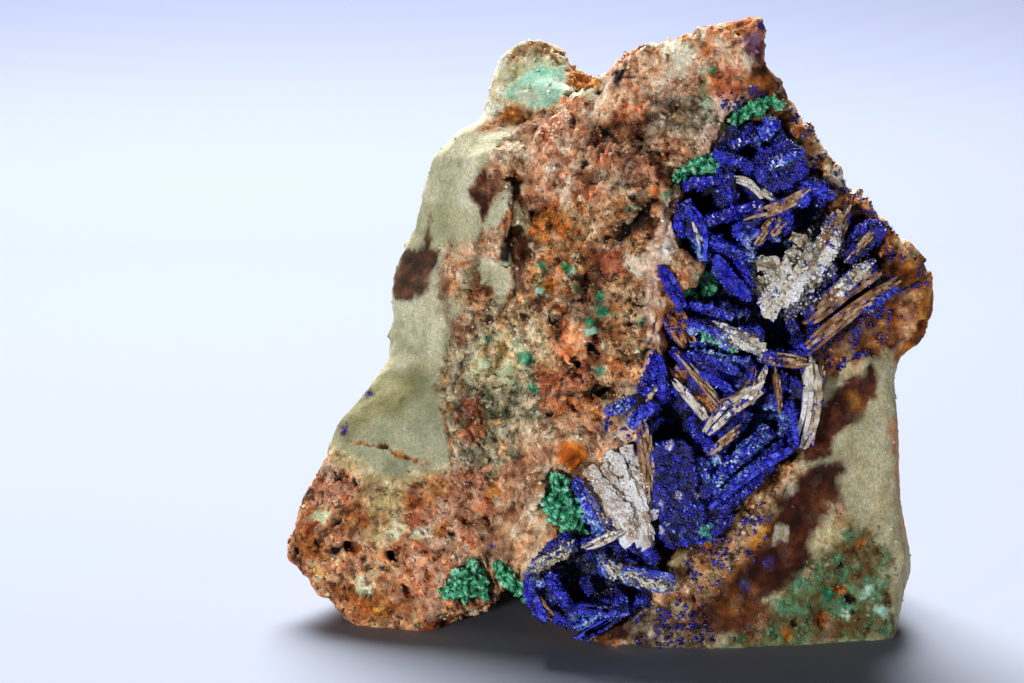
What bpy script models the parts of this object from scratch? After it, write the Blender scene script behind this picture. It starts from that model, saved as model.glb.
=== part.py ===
"""Malachite with azurite: a broken lump of host rock with a crystal-lined hollow in its face.

One solid is the host rock, one is the crust of azurite and baryte crystals that fills the hollow,
and each separate growth of malachite is a solid of its own.

Everything is modelled in millimetres and turned to metres by MM at the end. X runs to the right,
Y away from the face that carries the hollow, and Z up from the surface the specimen stands on.
"""

import math

import bmesh
import bpy
from mathutils import Matrix, Vector, noise
from mathutils.bvhtree import BVHTree

MM = 0.001

# Driving dimensions.
HEIGHT = 76.0          # top of the crystalline peak
SOLID_GAP = 0.35       # clearance between two solids that grow against each other
ROOM_GAP = 0.1         # further clearance of the crust's sides
ROCK_GRAIN = 1.2       # grain at which the rock's chunks melt together
POD_GRAIN = 1.0        # grain at which the hollow's pods melt together
POD_LAST_GRAIN = 1.1   # its grain after its skin is roughened
FULL_FACES = 60000     # more triangles than any first melt gives, so that it keeps them all
ROCK_FACES = 3350      # triangles left in the rock before the hollow is cut
HOLLOW_FACES = 560     # triangles of the hollow's tool
CRUST_FACES = 2790     # triangles left in the crust before malachite is seated in it
SWELL_SIZE = 9.0       # spacing of the broad relief
CHIP_SIZE = 6.0        # spacing of the fine relief
CHIP_MEAN = 0.8        # middle value of the fine relief's noise
OCTAVES = 3            # layers of detail in the broad relief
STEP_UP = 2.0          # how much finer each layer is than the last
ROCK_RELIEF = (0.95, 0.8)      # broad and fine relief of the rock
HOLLOW_RELIEF = (0.8, 0.4)     # broad and fine relief of the hollow's walls
VEIN_X = -4.0          # middle of the coarse, crystalline stretch at half height
VEIN_LEAN = 0.22       # its shift to the right for each millimetre up
VEIN_HALF_WIDTH = 18.0
FLANK_RELIEF = 0.6     # strength of the relief on the smooth flanks
VEIN_RELIEF = 0.9      # what the vein's middle adds to it
BURY = 2.5             # how far feet run below the cut base
GROUND_WIDE = 160.0    # the tool that cuts the base flat
GROUND_DEEP = 40.0
NOWHERE = 100.0        # depth given where a line of sight meets no surface
IN_FRONT = -200.0      # where lines of sight start
ROUNDING = 0.01        # volume that a Boolean may lose, in cubic millimetres

# The face that carries the hollow leans back and turns a little to the right.
FACE_AT_ORIGIN = -23.6
FACE_PER_X = 0.072
FACE_PER_Z = 0.209


def face_y(x, z):
    """Depth of the hollow's rim plane at a place on the face."""
    return FACE_AT_ORIGIN + FACE_PER_X * x + FACE_PER_Z * z


# Corners of the broken chunks that make up the host rock: x, y, z.
ROCK_CHUNKS = {
    "wall": [
        (-1.5, 2, 68.2), (4, -1, 72.8), (9.5, -3, 75), (18, -4, 72), (19.5, -6, 66.5), (24, -7, 61.5),
        (29.5, -8, 54.5), (33, -10, 50), (31.8, -12.5, 35), (10, -14, 49), (4, -11, 54.5), (-3, -6, 58),
        (-17, 5, 57), (-20, 0, 36), (-18.5, -9, 17), (-14, -14, 7.5), (-11, -18, 6.5), (-2, -21, 2),
        (3, -21, 16.5), (32.4, -12.8, 22), (36, -14.5, 9.5), (37.6, -8, 7), (34.6, -16.8, -BURY),
        (10.5, -20.5, -BURY), (18, -20, -BURY), (0, 10, 63), (10, 10, 65), (-12, 17, 54),
        (22, 14, 52), (32, 10, 38), (34, 12, 5), (19, 25, 26), (-1, 27, 26), (-19, 20, 26),
        (-23, 16, 6), (20, 23, -BURY), (-2, 25, -BURY), (-18, 16, 2),
    ],
    "dome": [
        (-15.5, 8, 63), (-19.5, 8, 60.5), (-22.8, 8, 57.5), (-24.4, 8, 54), (-25, 8, 50),
        (-26, 8, 44), (-14, -3.5, 47), (-17, 0, 58), (-12, -2, 57), (-12, 18, 56), (-19, 19, 44),
    ],
    "shoulder": [
        (-26, 8, 46.5), (-27.4, 8, 44.8), (-28.4, 8, 42), (-28.8, 8, 37.5), (-29.2, 8, 32), (-29, 6, 29),
        (-19.5, -2.5, 40), (-19, -5.5, 28), (-15, -5, 42), (-20, 20, 36), (-24, 17, 28),
    ],
    "left_facet": [
        (-29, 5, 31), (-32, 2, 26), (-35.5, 0, 23), (-37.5, -2, 19), (-20, -5, 30), (-18, -9, 18),
        (-17, -11, 27), (-32, 14, 22), (-24, 17, 24), (-33.5, -8, 14.5), (-20, -12, 13),
    ],
    "left_foot": [
        (-38, -2, 19), (-40.8, -4, 13.5), (-42.4, -5, 9.5), (-41, -6.5, 7), (-38, -8.5, 4.2),
        (-33.5, -10, 1), (-31, -11.5, -BURY), (-24, -12, -BURY), (-21.5, -12, 0.8),
        (-18, -13, 3.6), (-14.5, -14.5, 5.2), (-12, -17, 8), (-17.5, -14, 13.5), (-32, -10.5, 13),
        (-26, 6, -BURY), (-31, 8, 2), (-36, 4, 12), (-20, 10, 2),
    ],
    "knob": [
        (-0.2, 12, 66.8), (-2.6, 13, 68.8), (-7.5, 14, 70.4), (-9, 15, 71.6), (-14.4, 14, 70),
        (-15.6, 13, 68.5), (-15.6, 12, 64.5), (-16.2, 10, 62), (-6, 5, 63), (-4, 19, 62), (-12, 20, 64),
        (-14, 17, 55), (0, 18, 57),
    ],
    "peak": [
        (10.8, -4.5, 75), (12.2, -3, 76.8), (14.5, -3, 77.6), (17.8, -3, 77.4), (18.7, -4.5, 75.4),
        (19, -5.5, 72), (19.8, -6, 66.5), (12, -8.5, 66), (13, 4, 71), (18, 3, 69),
    ],
    "rim_high": [
        (19, -6, 66.6), (22.2, -6.5, 64.2), (23.2, -6.5, 62), (24.8, -7, 60), (27, -7, 58.8),
        (28, -8, 55.6), (20, -7.5, 60), (25, 0, 55.6), (20, -2, 65.6),
    ],
    "rim_low": [
        (27.6, -8, 55.6), (29.8, -8, 54.9), (32.0, -8, 53.2), (34.4, -8.6, 51.2), (35.8, -8.6, 49.2),
        (30, -10.5, 47), (34, -2, 47), (28, -2, 53),
    ],
    "overhang": [
        (34.5, -8.5, 50.5), (38, -8, 46.8), (40, -8, 45.2), (40.8, -8, 43.6), (39.8, -8.5, 39.5),
        (39.2, -8.5, 36.4), (37.4, -9, 34.4), (33, -12, 34.3), (32, -12.5, 40), (33, -11, 48),
        (34, 0, 46), (35, -1, 36), (30, -2, 34),
    ],
    "pillar": [
        (-14.5, -5.5, 55.5), (-12.5, -5.5, 56), (-15.5, -6.8, 46.5), (-12.8, -7.6, 46), (-13.5, -7.5, 43),
        (-14, -1, 50), (-11, -1, 50),
    ],
    "brow": [
        (-1, -8.6, 62.5), (4, -10.6, 61), (8, -12.4, 56.5), (5.5, -13.6, 53.4), (-0.5, -12.4, 51.2),
        (-2.5, -10.2, 55), (2, -2, 60), (4, -4, 52),
    ],
    "belly": [
        (-5, -15.2, 30), (0, -17.8, 27.5), (-3.5, -18.2, 21), (-8, -16.6, 19), (-9.5, -14.6, 26),
        (-5, -8, 27), (-4, -8, 20),
    ],
}

# Rounded knuckles on the rims: x, z, how far their middle stands off the rim plane, radius.
RIM_KNUCKLES = [
    (22.6, 61.6, -1.2, 1.7), (26.2, 57.4, -1.6, 1.5), (30.4, 53.2, -1.4, 1.6), (36.0, 46.0, -1.6, 2.2),
    (37.2, 41.0, -2.2, 2.4), (30.8, 33.6, -1.2, 2.2), (27.0, 28.2, -1.0, 2.0), (23.4, 22.4, -0.8, 2.1),
    (18.2, 14.4, -0.6, 1.9), (13.0, 9.2, -0.6, 2.2), (8.0, 4.6, -0.4, 2.0), (6.0, 55.0, -1.0, 1.7),
    (4.2, 48.0, -1.2, 2.0), (3.2, 41.5, -1.1, 1.8), (0.2, 35.2, -1.0, 2.1), (-6.4, 25.2, -1.2, 2.0),
    (-9.5, 19.4, -1.6, 2.2), (-12.4, 12.0, -1.6, 1.9), (15.2, 71.6, -0.6, 2.1), (18.0, 68.6, -1.2, 1.5),
]

# Ellipsoids whose union is the hollow: x, z, half width, half height, turn in degrees, half depth.
HOLLOW_PODS = [
    (17.1, 61.4, 5.7, 5.2, 0, 7.0),
    (17.6, 53.2, 11.4, 7.6, 0, 9.5),
    (25.0, 46.4, 10.4, 7.0, 35, 9.5),
    (15.2, 38.4, 10.2, 8.2, 0, 10.0),
    (14.0, 27.6, 11.2, 8.0, 10, 10.0),
    (6.2, 19.0, 11.0, 7.4, 20, 10.0),
    (-2.4, 9.6, 9.4, 7.0, 10, 8.5),
]
POD_FORWARD = 1.6       # the pods' middles stand this far in front of the rim plane
BED_BACK = 3.6          # the crust's base lies this far behind the rim plane
BED_SWELL = 1.5         # its rise and fall
BED_SPACING = 7.0       # spacing of its swells
BED_CELLS = (12, 18)    # cells of its surface across and up
BED_DEEP = 30.0         # how far its slab runs back, past the hollow's floor
BED_MARGIN = 2.0        # how far it runs past the hollow's sides
PLATE_CHAMFER = 0.55    # cut across a plate's ends, as a share of its thickness
FACE_CHAMFER = 0.22     # cut on a plate that lies face on, as a share of its width
LONG_CHAMFER = 0.45     # cut along the long edges, as a share of the ends' cut
FACE_DEEP = 8.0         # depth of a plate that lies face on
FILLER_TRIES = 105      # places tried for the small plates between the named ones
FILLER_X = (-12.0, 36.0)       # reach of those places across
FILLER_Z = (2.0, 66.0)         # and up
FILLER_INSIDE = 0.9     # how far inside the pods they stay
FILLER_DEEP = 5.0       # depth of a small plate
GOLDEN = 0.618034       # share of a turn that keeps neighbours unlike
GOLDEN_TURN = 2.4       # the same in radians
BALL_GRAIN = 0.3        # grain at which a growth's balls melt together
BALL_FACES = 150        # triangles of one malachite growth
BALL_FLAT = 0.9         # a ball's depth, as a share of its width
BALL_STAND = 0.2        # how far its middle stands off its seat, as a share of its radius
BALL_TURN = 30.0        # turn from one ball to the next, in degrees
SEAT_SPREAD = 0.5       # most that a ball's seat leaves its growth's middle
SEAT_FOLLOW = 0.4       # share of the surface's unevenness that the seats follow
SEAT_BEHIND = 1.0       # how far behind the foremost seat a ball sits where nothing is behind it
PIT_TURN = 50.0         # turn of a leached hole for each millimetre across

# Tabular crystals seen on edge: two ends as x, z, then thickness, depth of the plate into the
# hollow, and how far its near edge stands in front of the rim plane.
EDGE_PLATES = [
    (13.5, 60.2, 17.4, 62.8, 1.4, 5, 0.8), (11.4, 60.3, 17.0, 57.8, 1.5, 6, 1.4),
    (16.8, 60.8, 19.7, 64.1, 1.4, 5, 0.6), (8.2, 56.8, 12.6, 57.0, 1.6, 5, 1.0),
    (12.9, 58.8, 13.8, 53.6, 1.4, 6, 1.8), (9.9, 51.5, 14.8, 53.3, 1.4, 6, 1.6),
    (15.6, 52.2, 23.2, 55.3, 1.5, 6, 2.2), (13.9, 57.0, 17.9, 54.7, 1.1, 5, 1.6),
    (16.8, 49.0, 19.1, 52.4, 1.2, 5, 1.6), (19.2, 49.7, 20.8, 52.8, 1.2, 5, 1.0),
    (8.2, 54.2, 10.9, 47.0, 1.4, 6, 1.5), (6.9, 54.4, 7.6, 50.0, 1.4, 5, 0.6),
    (10.6, 49.6, 16.8, 47.1, 1.4, 6, 2.0), (12.2, 47.8, 14.7, 43.4, 1.5, 6, 1.7),
    (15.0, 47.3, 17.5, 44.0, 1.5, 6, 1.2), (23.2, 39.9, 32.0, 45.9, 2.1, 7, 2.4),
    (22.6, 36.0, 34.6, 44.4, 1.9, 7, 1.6), (26.4, 48.0, 28.4, 53.0, 1.1, 5, 1.0),
    (5.9, 45.2, 8.2, 41.0, 1.4, 5, 0.8), (8.4, 40.0, 14.2, 38.4, 1.5, 6, 1.6),
    (8.6, 35.9, 16.7, 34.6, 1.2, 6, 1.4), (7.0, 36.6, 13.2, 29.4, 1.2, 6, 1.5),
    (6.8, 33.2, 11.9, 27.5, 1.4, 6, 1.1), (10.4, 26.2, 17.6, 32.2, 1.9, 7, 2.3),
    (12.4, 30.2, 16.9, 34.6, 1.1, 6, 1.5), (11.4, 24.1, 15.1, 27.5, 1.4, 6, 1.9),
    (13.6, 22.4, 18.9, 27.0, 1.5, 6, 1.6), (14.4, 20.8, 20.7, 24.9, 1.5, 6, 1.1),
    (12.0, 16.6, 19.1, 22.8, 1.5, 6, 1.4), (24.0, 35.4, 22.3, 24.3, 2.0, 6, 1.4),
    (20.4, 26.2, 22.0, 33.0, 1.2, 6, 0.8), (17.6, 35.8, 23.2, 35.1, 1.6, 6, 2.2),
    (19.2, 29.5, 20.1, 34.0, 1.1, 6, 1.6), (2.6, 28.5, 3.3, 20.3, 1.6, 6, 2.0),
    (-5.8, 22.0, -2.7, 17.6, 1.4, 5, 0.9), (-3.5, 17.4, 1.2, 14.9, 1.4, 5, 1.4),
    (-4.0, 13.3, 0.8, 15.0, 1.4, 6, 1.6), (-1.9, 11.5, 7.3, 8.3, 1.8, 6, 1.9),
    (3.0, 14.0, 4.8, 11.1, 1.4, 5, 1.3), (-10.4, 10.6, -5.4, 14.6, 1.8, 5, 0.9),
    (-11.0, 10.8, -8.8, 8.0, 1.8, 5, 0.6), (-8.4, 10.2, -4.9, 4.3, 1.5, 5, 1.0),
    (-5.6, 3.4, 1.2, 6.7, 1.8, 5, 1.4), (-3.4, 2.3, 1.8, 3.6, 1.8, 4, 0.6),
    (4.7, 36.6, 5.7, 30.5, 1.5, 5, 0.9), (1.3, 27.2, 5.0, 30.3, 1.8, 5, 1.2),
    (21.5, 59.6, 23.9, 56.0, 1.4, 5, 0.7), (19.6, 62.6, 21.4, 60.2, 1.4, 5, 0.6),
    (9.2, 28.4, 12.6, 22.6, 1.5, 6, 1.2), (7.6, 16.6, 12.0, 13.0, 1.6, 5, 0.9),
]

# Tabular crystals that lie face on: x, z, width, height, turn in degrees, and how far the near
# face stands in front of the rim plane.
FACE_PLATES = [
    (20.0, 58.3, 6.2, 5.6, 18, 1.6), (22.5, 45.0, 8.6, 5.4, 40, 1.4), (15.8, 50.6, 2.7, 2.5, 30, 2.3),
    (30.2, 49.4, 6.0, 3.2, 38, 0.8), (10.4, 33.3, 3.6, 3.2, -20, 1.7), (15.2, 38.0, 5.4, 2.4, 5, 2.2),
    (1.4, 21.0, 5.2, 10.0, 12, 1.6), (7.2, 19.6, 5.2, 12.6, 8, 2.6), (11.0, 19.0, 3.8, 10.0, 22, 1.8),
    (-8.9, 6.3, 2.8, 3.6, 10, 0.4), (-2.2, 5.4, 5.6, 2.8, 12, 0.8),
]

# Malachite growths: each a spray of balls given as x, z, radius on the plane of the face.
MALACHITE = {
    "malachite_tuft_top": [
        (14.4, 63.6, 0.9), (15.3, 64.1, 1.0), (16.3, 64.6, 1.1), (17.4, 65.2, 1.2), (18.5, 65.6, 1.1),
        (19.6, 65.9, 1.0), (17.2, 64.3, 0.9), (20.3, 65.6, 0.8),
    ],
    "malachite_tuft_upper": [
        (8.6, 57.9, 1.0), (9.8, 58.6, 1.2), (11.2, 58.9, 1.3), (12.2, 58.2, 1.1), (7.4, 57.0, 0.9),
        (6.2, 55.9, 0.8),
    ],
    "malachite_tuft_middle": [
        (8.7, 45.8, 1.1), (9.9, 44.8, 1.4), (11.1, 43.7, 1.6), (10.2, 42.7, 1.2), (8.8, 43.6, 1.1),
        (11.9, 44.6, 1.0),
    ],
    "malachite_tuft_inner": [
        (11.0, 38.6, 0.9), (12.1, 38.0, 1.1), (13.3, 37.3, 1.0), (14.2, 36.6, 0.8),
    ],
    "malachite_tuft_lower": [
        (-7.9, 18.4, 1.6), (-6.8, 19.9, 1.5), (-6.0, 17.8, 2.0), (-4.9, 16.4, 1.8), (-5.7, 15.0, 1.4),
        (-7.3, 21.2, 1.1), (-7.2, 16.4, 1.4), (-4.4, 14.6, 1.0),
    ],
    "malachite_tuft_foot": [
        (-17.6, 9.0, 1.1), (-18.9, 7.2, 1.7), (-16.9, 7.4, 1.5), (-20.2, 6.2, 1.2), (-18.4, 5.7, 1.4),
        (-16.2, 6.0, 1.1), (-21.3, 5.5, 0.8),
    ],
    "malachite_tuft_arch": [
        (-14.4, 9.0, 1.1), (-13.4, 8.0, 1.3), (-12.4, 7.0, 1.2), (-11.6, 5.9, 1.1), (-10.9, 4.9, 0.9),
    ],
}

# Small holes left by leached grains: x, z, radius across, radius up, depth.
PITS = [
    (-33.8, 18.6, 0.9, 0.7, 1.4), (-36.8, 10.4, 0.8, 0.7, 1.4), (-32.7, 10.2, 1.2, 0.8, 1.8),
    (-27.4, 9.6, 0.9, 0.8, 1.4), (-32.9, 4.9, 0.8, 0.6, 1.2), (-25.5, 4.9, 0.8, 0.7, 1.4),
    (-29.3, 13.0, 1.0, 0.8, 1.5), (-2.2, 36.7, 1.4, 1.1, 2.6), (-4.4, 34.1, 1.1, 0.9, 2.2),
    (-0.4, 31.4, 1.3, 1.1, 2.4), (-7.3, 39.7, 0.9, 0.9, 1.8), (3.0, 42.8, 1.1, 1.3, 2.2),
    (-2.9, 44.6, 0.9, 0.8, 1.8), (-12.1, 49.3, 0.9, 1.8, 4.5), (-12.4, 55.6, 0.9, 1.6, 3.0),
    (-10.0, 30.5, 1.0, 0.9, 1.6),
]

# Colours as linear red, green, blue, and how rough each mineral is.
ROCK_COLOUR = (0.42, 0.25, 0.15)
AZURITE_COLOUR = (0.015, 0.02, 0.42)
MALACHITE_COLOUR = (0.03, 0.42, 0.20)
ROCK_ROUGHNESS = 0.85
AZURITE_ROUGHNESS = 0.45
MALACHITE_ROUGHNESS = 0.55


def clear_scene():
    """Remove every object that the file opened with."""
    for obj in list(bpy.data.objects):
        bpy.data.objects.remove(obj, do_unlink=True)


def mineral(name, colour, roughness):
    """A plain mineral material."""
    material = bpy.data.materials.new(name)
    material.use_nodes = True
    shader = material.node_tree.nodes["Principled BSDF"]
    shader.inputs["Base Color"].default_value = (*colour, 1.0)
    shader.inputs["Roughness"].default_value = roughness
    shader.inputs["Metallic"].default_value = 0.0
    return material


def new_object(name, bm):
    """Put a bmesh into the scene as an object."""
    bmesh.ops.recalc_face_normals(bm, faces=bm.faces)
    mesh = bpy.data.meshes.new(name)
    bm.to_mesh(mesh)
    bm.free()
    obj = bpy.data.objects.new(name, mesh)
    bpy.context.scene.collection.objects.link(obj)
    return obj


def bake(obj):
    """Keep the shape that the object's modifiers give and drop the modifiers."""
    graph = bpy.context.evaluated_depsgraph_get()
    shaped = bpy.data.meshes.new_from_object(obj.evaluated_get(graph))
    rough = obj.data
    obj.modifiers.clear()
    obj.data = shaped
    bpy.data.meshes.remove(rough)


def volume_of(mesh):
    """Volume that a closed mesh holds."""
    bm = bmesh.new()
    bm.from_mesh(mesh)
    volume = bm.calc_volume()
    bm.free()
    return volume


def combine(obj, other, operation):
    """Union, difference or intersection of one object with another, which is used up.

    The second solver is for the rare pair of meshes that the exact one returns empty.
    """
    before = obj.data.copy()
    least = {
        "UNION": volume_of(before),
        "DIFFERENCE": volume_of(before) - volume_of(other.data),
        "INTERSECT": 0.0,
    }[operation]
    for solver in ("EXACT", "MANIFOLD"):
        obj.data = before.copy()
        step = obj.modifiers.new(operation.lower(), "BOOLEAN")
        step.operation = operation
        step.solver = solver
        step.object = other
        bake(obj)
        if len(obj.data.polygons) and volume_of(obj.data) > least - ROUNDING:
            break
    bpy.data.meshes.remove(before)
    bpy.data.objects.remove(other, do_unlink=True)


def add_hull(bm, corners):
    """Add the convex hull of some corners as a closed chunk."""
    verts = [bm.verts.new(corner) for corner in corners]
    done = bmesh.ops.convex_hull(bm, input=verts)
    unused = {item for item in done["geom_interior"] if isinstance(item, bmesh.types.BMVert)}
    bmesh.ops.delete(bm, geom=list(unused), context="VERTS")


def add_ball(bm, centre, radii, turn=0.0, detail=2):
    """Add an ellipsoid whose long axes are turned in the plane of the face."""
    place = (
        Matrix.Translation(centre)
        @ Matrix.Rotation(math.radians(-turn), 4, "Y")
        @ Matrix.Diagonal((*radii, 1.0))
    )
    bmesh.ops.create_icosphere(bm, subdivisions=detail, radius=1.0, matrix=place)


def thin(obj, faces):
    """Thin a mesh to about so many triangles, the flattest places first."""
    triangles = sum(len(poly.vertices) - 2 for poly in obj.data.polygons)
    step = obj.modifiers.new("thin", "DECIMATE")
    step.ratio = min(1.0, faces / triangles)
    bake(obj)


def melt(obj, grain, faces):
    """Fuse overlapping closed chunks into one skin and thin it to about so many triangles."""
    skin = obj.modifiers.new("melt", "REMESH")
    skin.mode = "VOXEL"
    skin.voxel_size = grain
    bake(obj)
    thin(obj, faces)


def coarseness(place):
    """How strong the relief is: strong where the rock is crystalline, weak on its smooth flanks."""
    from_vein = abs(place.x - VEIN_X - VEIN_LEAN * (place.z - HEIGHT / 2))
    return FLANK_RELIEF + VEIN_RELIEF * max(0.0, 1.0 - (from_vein / VEIN_HALF_WIDTH) ** 2)


def roughen(obj, broad, fine, seed):
    """Push the skin in and out by broad and fine fracture relief."""
    mesh = obj.data
    shift = Vector((seed, 2.0 * seed, 3.0 * seed))
    moved = []
    for vert in mesh.vertices:
        place = vert.co
        swell = noise.fractal(place / SWELL_SIZE + shift, 0.8, STEP_UP, OCTAVES)
        chip = noise.ridged_multi_fractal(place / CHIP_SIZE - shift, 0.9, STEP_UP, 2, 1.0, 1.0) - CHIP_MEAN
        moved.append(vert.co + vert.normal * coarseness(place) * (broad * swell + fine * chip))
    for vert, place in zip(mesh.vertices, moved):
        vert.co = place
    mesh.update()


def shrink(obj, distance):
    """Move a skin inwards along its normals, or outwards for a negative distance."""
    bm = bmesh.new()
    bm.from_mesh(obj.data)
    bm.normal_update()
    steps = [vert.normal * vert.calc_shell_factor() * distance for vert in bm.verts]
    for vert, step in zip(bm.verts, steps):
        vert.co -= step
    bm.to_mesh(obj.data)
    bm.free()


def copy_of(obj, name):
    """A separate copy of an object and its mesh."""
    twin = obj.copy()
    twin.data = obj.data.copy()
    twin.name = name
    bpy.context.scene.collection.objects.link(twin)
    return twin


def keep_largest(obj):
    """Drop every loose chip and keep the largest connected body."""
    bm = bmesh.new()
    bm.from_mesh(obj.data)
    bodies = []
    waiting = set(bm.faces)
    while waiting:
        body = {waiting.pop()}
        edge = list(body)
        while edge:
            face = edge.pop()
            for link in face.edges:
                for near in link.link_faces:
                    if near in waiting:
                        waiting.remove(near)
                        body.add(near)
                        edge.append(near)
        bodies.append(body)
    bodies.sort(key=len, reverse=True)
    chips = [face for body in bodies[1:] for face in body]
    bmesh.ops.delete(bm, geom=chips, context="FACES")
    bmesh.ops.triangulate(bm, faces=bm.faces)
    bm.to_mesh(obj.data)
    bm.free()


def surface_depth(tree, x, z):
    """Depth of the front surface at a place on the face, or far behind where there is none."""
    hit = tree.ray_cast(Vector((x, IN_FRONT, z)), Vector((0.0, 1.0, 0.0)))[0]
    return hit.y if hit else NOWHERE


def tree_of(obj):
    """A search tree over an object's mesh."""
    return BVHTree.FromPolygons(
        [vert.co for vert in obj.data.vertices],
        [list(poly.vertices) for poly in obj.data.polygons],
    )


def make_rough_rock():
    """The host rock before anything is cut from it."""
    bm = bmesh.new()
    for corners in ROCK_CHUNKS.values():
        add_hull(bm, corners)
    for x, z, stand, radius in RIM_KNUCKLES:
        centre = Vector((x, face_y(x, z) - stand, z))
        add_ball(bm, centre, (radius, radius * 0.8, radius), detail=2)
    rock = new_object("host_rock", bm)
    melt(rock, ROCK_GRAIN, FULL_FACES)
    roughen(rock, *ROCK_RELIEF, seed=3.7)
    melt(rock, ROCK_GRAIN, ROCK_FACES)
    return rock


def make_hollow():
    """The tool that cuts the hollow: a lobed pod with an uneven skin."""
    bm = bmesh.new()
    for x, z, half_width, half_height, turn, half_depth in HOLLOW_PODS:
        centre = Vector((x, face_y(x, z) - POD_FORWARD, z))
        add_ball(bm, centre, (half_width, half_depth, half_height), turn, detail=3)
    hollow = new_object("hollow_tool", bm)
    melt(hollow, POD_GRAIN, FULL_FACES)
    roughen(hollow, *HOLLOW_RELIEF, seed=9.1)
    melt(hollow, POD_LAST_GRAIN, HOLLOW_FACES)
    return hollow


def plate_object(name, centre, along, across, out, half_sizes, chamfer):
    """A tabular crystal: a box whose ends and outer long edges are cut to flat faces."""
    bm = bmesh.new()
    frame = Matrix((along, across, out)).transposed().to_4x4()
    sizes = Matrix.Diagonal((*[2.0 * half for half in half_sizes], 1.0))
    bmesh.ops.create_cube(bm, size=1.0, matrix=Matrix.Translation(centre) @ frame @ sizes)

    def edges_along(direction, outer_only):
        found = []
        for edge in bm.edges:
            first, last = (vert.co for vert in edge.verts)
            outer = ((first + last) / 2 - centre).dot(out) > 0.0
            if abs((last - first).normalized().dot(direction)) > 0.9 and (outer or not outer_only):
                found.append(edge)
        return found

    for direction, outer_only, width in ((across, False, chamfer), (along, True, chamfer * LONG_CHAMFER)):
        bmesh.ops.bevel(
            bm, geom=edges_along(direction, outer_only), offset=width, offset_type="OFFSET",
            segments=1, profile=0.5, affect="EDGES", material=-1,
        )
    return new_object(name, bm)


def face_normal():
    """The direction that the hollow's face looks in."""
    return Vector((FACE_PER_X, -1.0, FACE_PER_Z)).normalized()


def make_bed(low, high):
    """The crust's uneven base: a slab between two corners that fills the hollow's floor."""
    across, up = BED_CELLS
    bm = bmesh.new()
    bmesh.ops.create_grid(bm, x_segments=across, y_segments=up, size=0.5)
    for vert in bm.verts:
        x = low.x + (vert.co.x + 0.5) * (high.x - low.x)
        z = low.z + (vert.co.y + 0.5) * (high.z - low.z)
        swell = noise.fractal(Vector((x, 0.0, z)) / BED_SPACING, 0.7, STEP_UP, OCTAVES)
        vert.co = Vector((x, face_y(x, z) + BED_BACK - BED_SWELL * swell, z))
    pushed = bmesh.ops.extrude_face_region(bm, geom=bm.faces[:])
    back = [item for item in pushed["geom"] if isinstance(item, bmesh.types.BMVert)]
    bmesh.ops.translate(bm, verts=back, vec=(0.0, BED_DEEP, 0.0))
    return new_object("azurite_crust", bm)


def inside_pods(x, z, margin):
    """Whether a place on the face lies in the hollow, this fraction inside its pods."""
    for pod_x, pod_z, half_width, half_height, turn, _ in HOLLOW_PODS:
        angle = math.radians(turn)
        side = (x - pod_x) * math.cos(angle) + (z - pod_z) * math.sin(angle)
        rise = (z - pod_z) * math.cos(angle) - (x - pod_x) * math.sin(angle)
        if math.hypot(side / half_width, rise / half_height) < margin:
            return True
    return False


def filler_plates():
    """Smaller plates between the named ones, spread by the golden ratio over the hollow."""
    plates = []
    for index in range(FILLER_TRIES):
        x = FILLER_X[0] + (FILLER_X[1] - FILLER_X[0]) * ((GOLDEN * index) % 1.0)
        z = FILLER_Z[0] + (FILLER_Z[1] - FILLER_Z[0]) * ((index + 0.5) / FILLER_TRIES)
        if not inside_pods(x, z, FILLER_INSIDE):
            continue
        angle = GOLDEN_TURN * index
        half = 1.5 + 0.5 * math.sin(1.7 * index)
        dx, dz = half * math.cos(angle), half * math.sin(angle)
        thick = 1.15 + 0.2 * math.sin(3.1 * index)
        stand = 0.2 + 0.7 * math.sin(5.3 * index)
        plates.append((x - dx, z - dz, x + dx, z + dz, thick, FILLER_DEEP, stand))
    return plates


def tilt_of(index):
    """A plate's own small lean, in radians, that repeats from run to run."""
    return 0.38 * math.sin(GOLDEN_TURN * index + 0.7)


def edge_plate(index, x0, z0, x1, z1, thick, deep, stand):
    """A plate seen on edge, which leans a little its own way."""
    start = Vector((x0, face_y(x0, z0), z0))
    end = Vector((x1, face_y(x1, z1), z1))
    along = (end - start).normalized()
    into = Matrix.Rotation(tilt_of(index), 3, along) @ face_normal()
    across = into.cross(along).normalized()
    centre = (start + end) / 2 + into * (stand - deep / 2)
    sizes = ((end - start).length / 2, thick / 2, deep / 2)
    return plate_object("plate", centre, along, across, into, sizes, thick * PLATE_CHAMFER)


def face_plate(x, z, width, height, turn, stand):
    """A plate that lies face on, turned in the plane of the face."""
    out = face_normal()
    level = out.cross(Vector((0.0, 0.0, 1.0))).normalized()
    along = -(Matrix.Rotation(math.radians(turn), 3, out) @ level)
    up = along.cross(out).normalized()
    centre = Vector((x, face_y(x, z), z)) + out * (stand - FACE_DEEP / 2)
    sizes = (width / 2, FACE_DEEP / 2, height / 2)
    return plate_object("plate", centre, along, out, up, sizes, min(width, height) * FACE_CHAMFER)


def make_crust(hollow):
    """Azurite and baryte plates grown from one bed, kept inside the hollow."""
    room = copy_of(hollow, "crust_room")
    shrink(room, SOLID_GAP + ROOM_GAP)
    corners = [vert.co for vert in room.data.vertices]
    low = Vector([min(corner[axis] for corner in corners) - BED_MARGIN for axis in range(3)])
    high = Vector([max(corner[axis] for corner in corners) + BED_MARGIN for axis in range(3)])
    crust = make_bed(low, high)
    for index, plate in enumerate(EDGE_PLATES + filler_plates()):
        combine(crust, edge_plate(index, *plate), "UNION")
    for plate in FACE_PLATES:
        combine(crust, face_plate(*plate), "UNION")
    combine(crust, room, "INTERSECT")
    keep_largest(crust)
    thin(crust, CRUST_FACES)
    return crust


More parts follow.
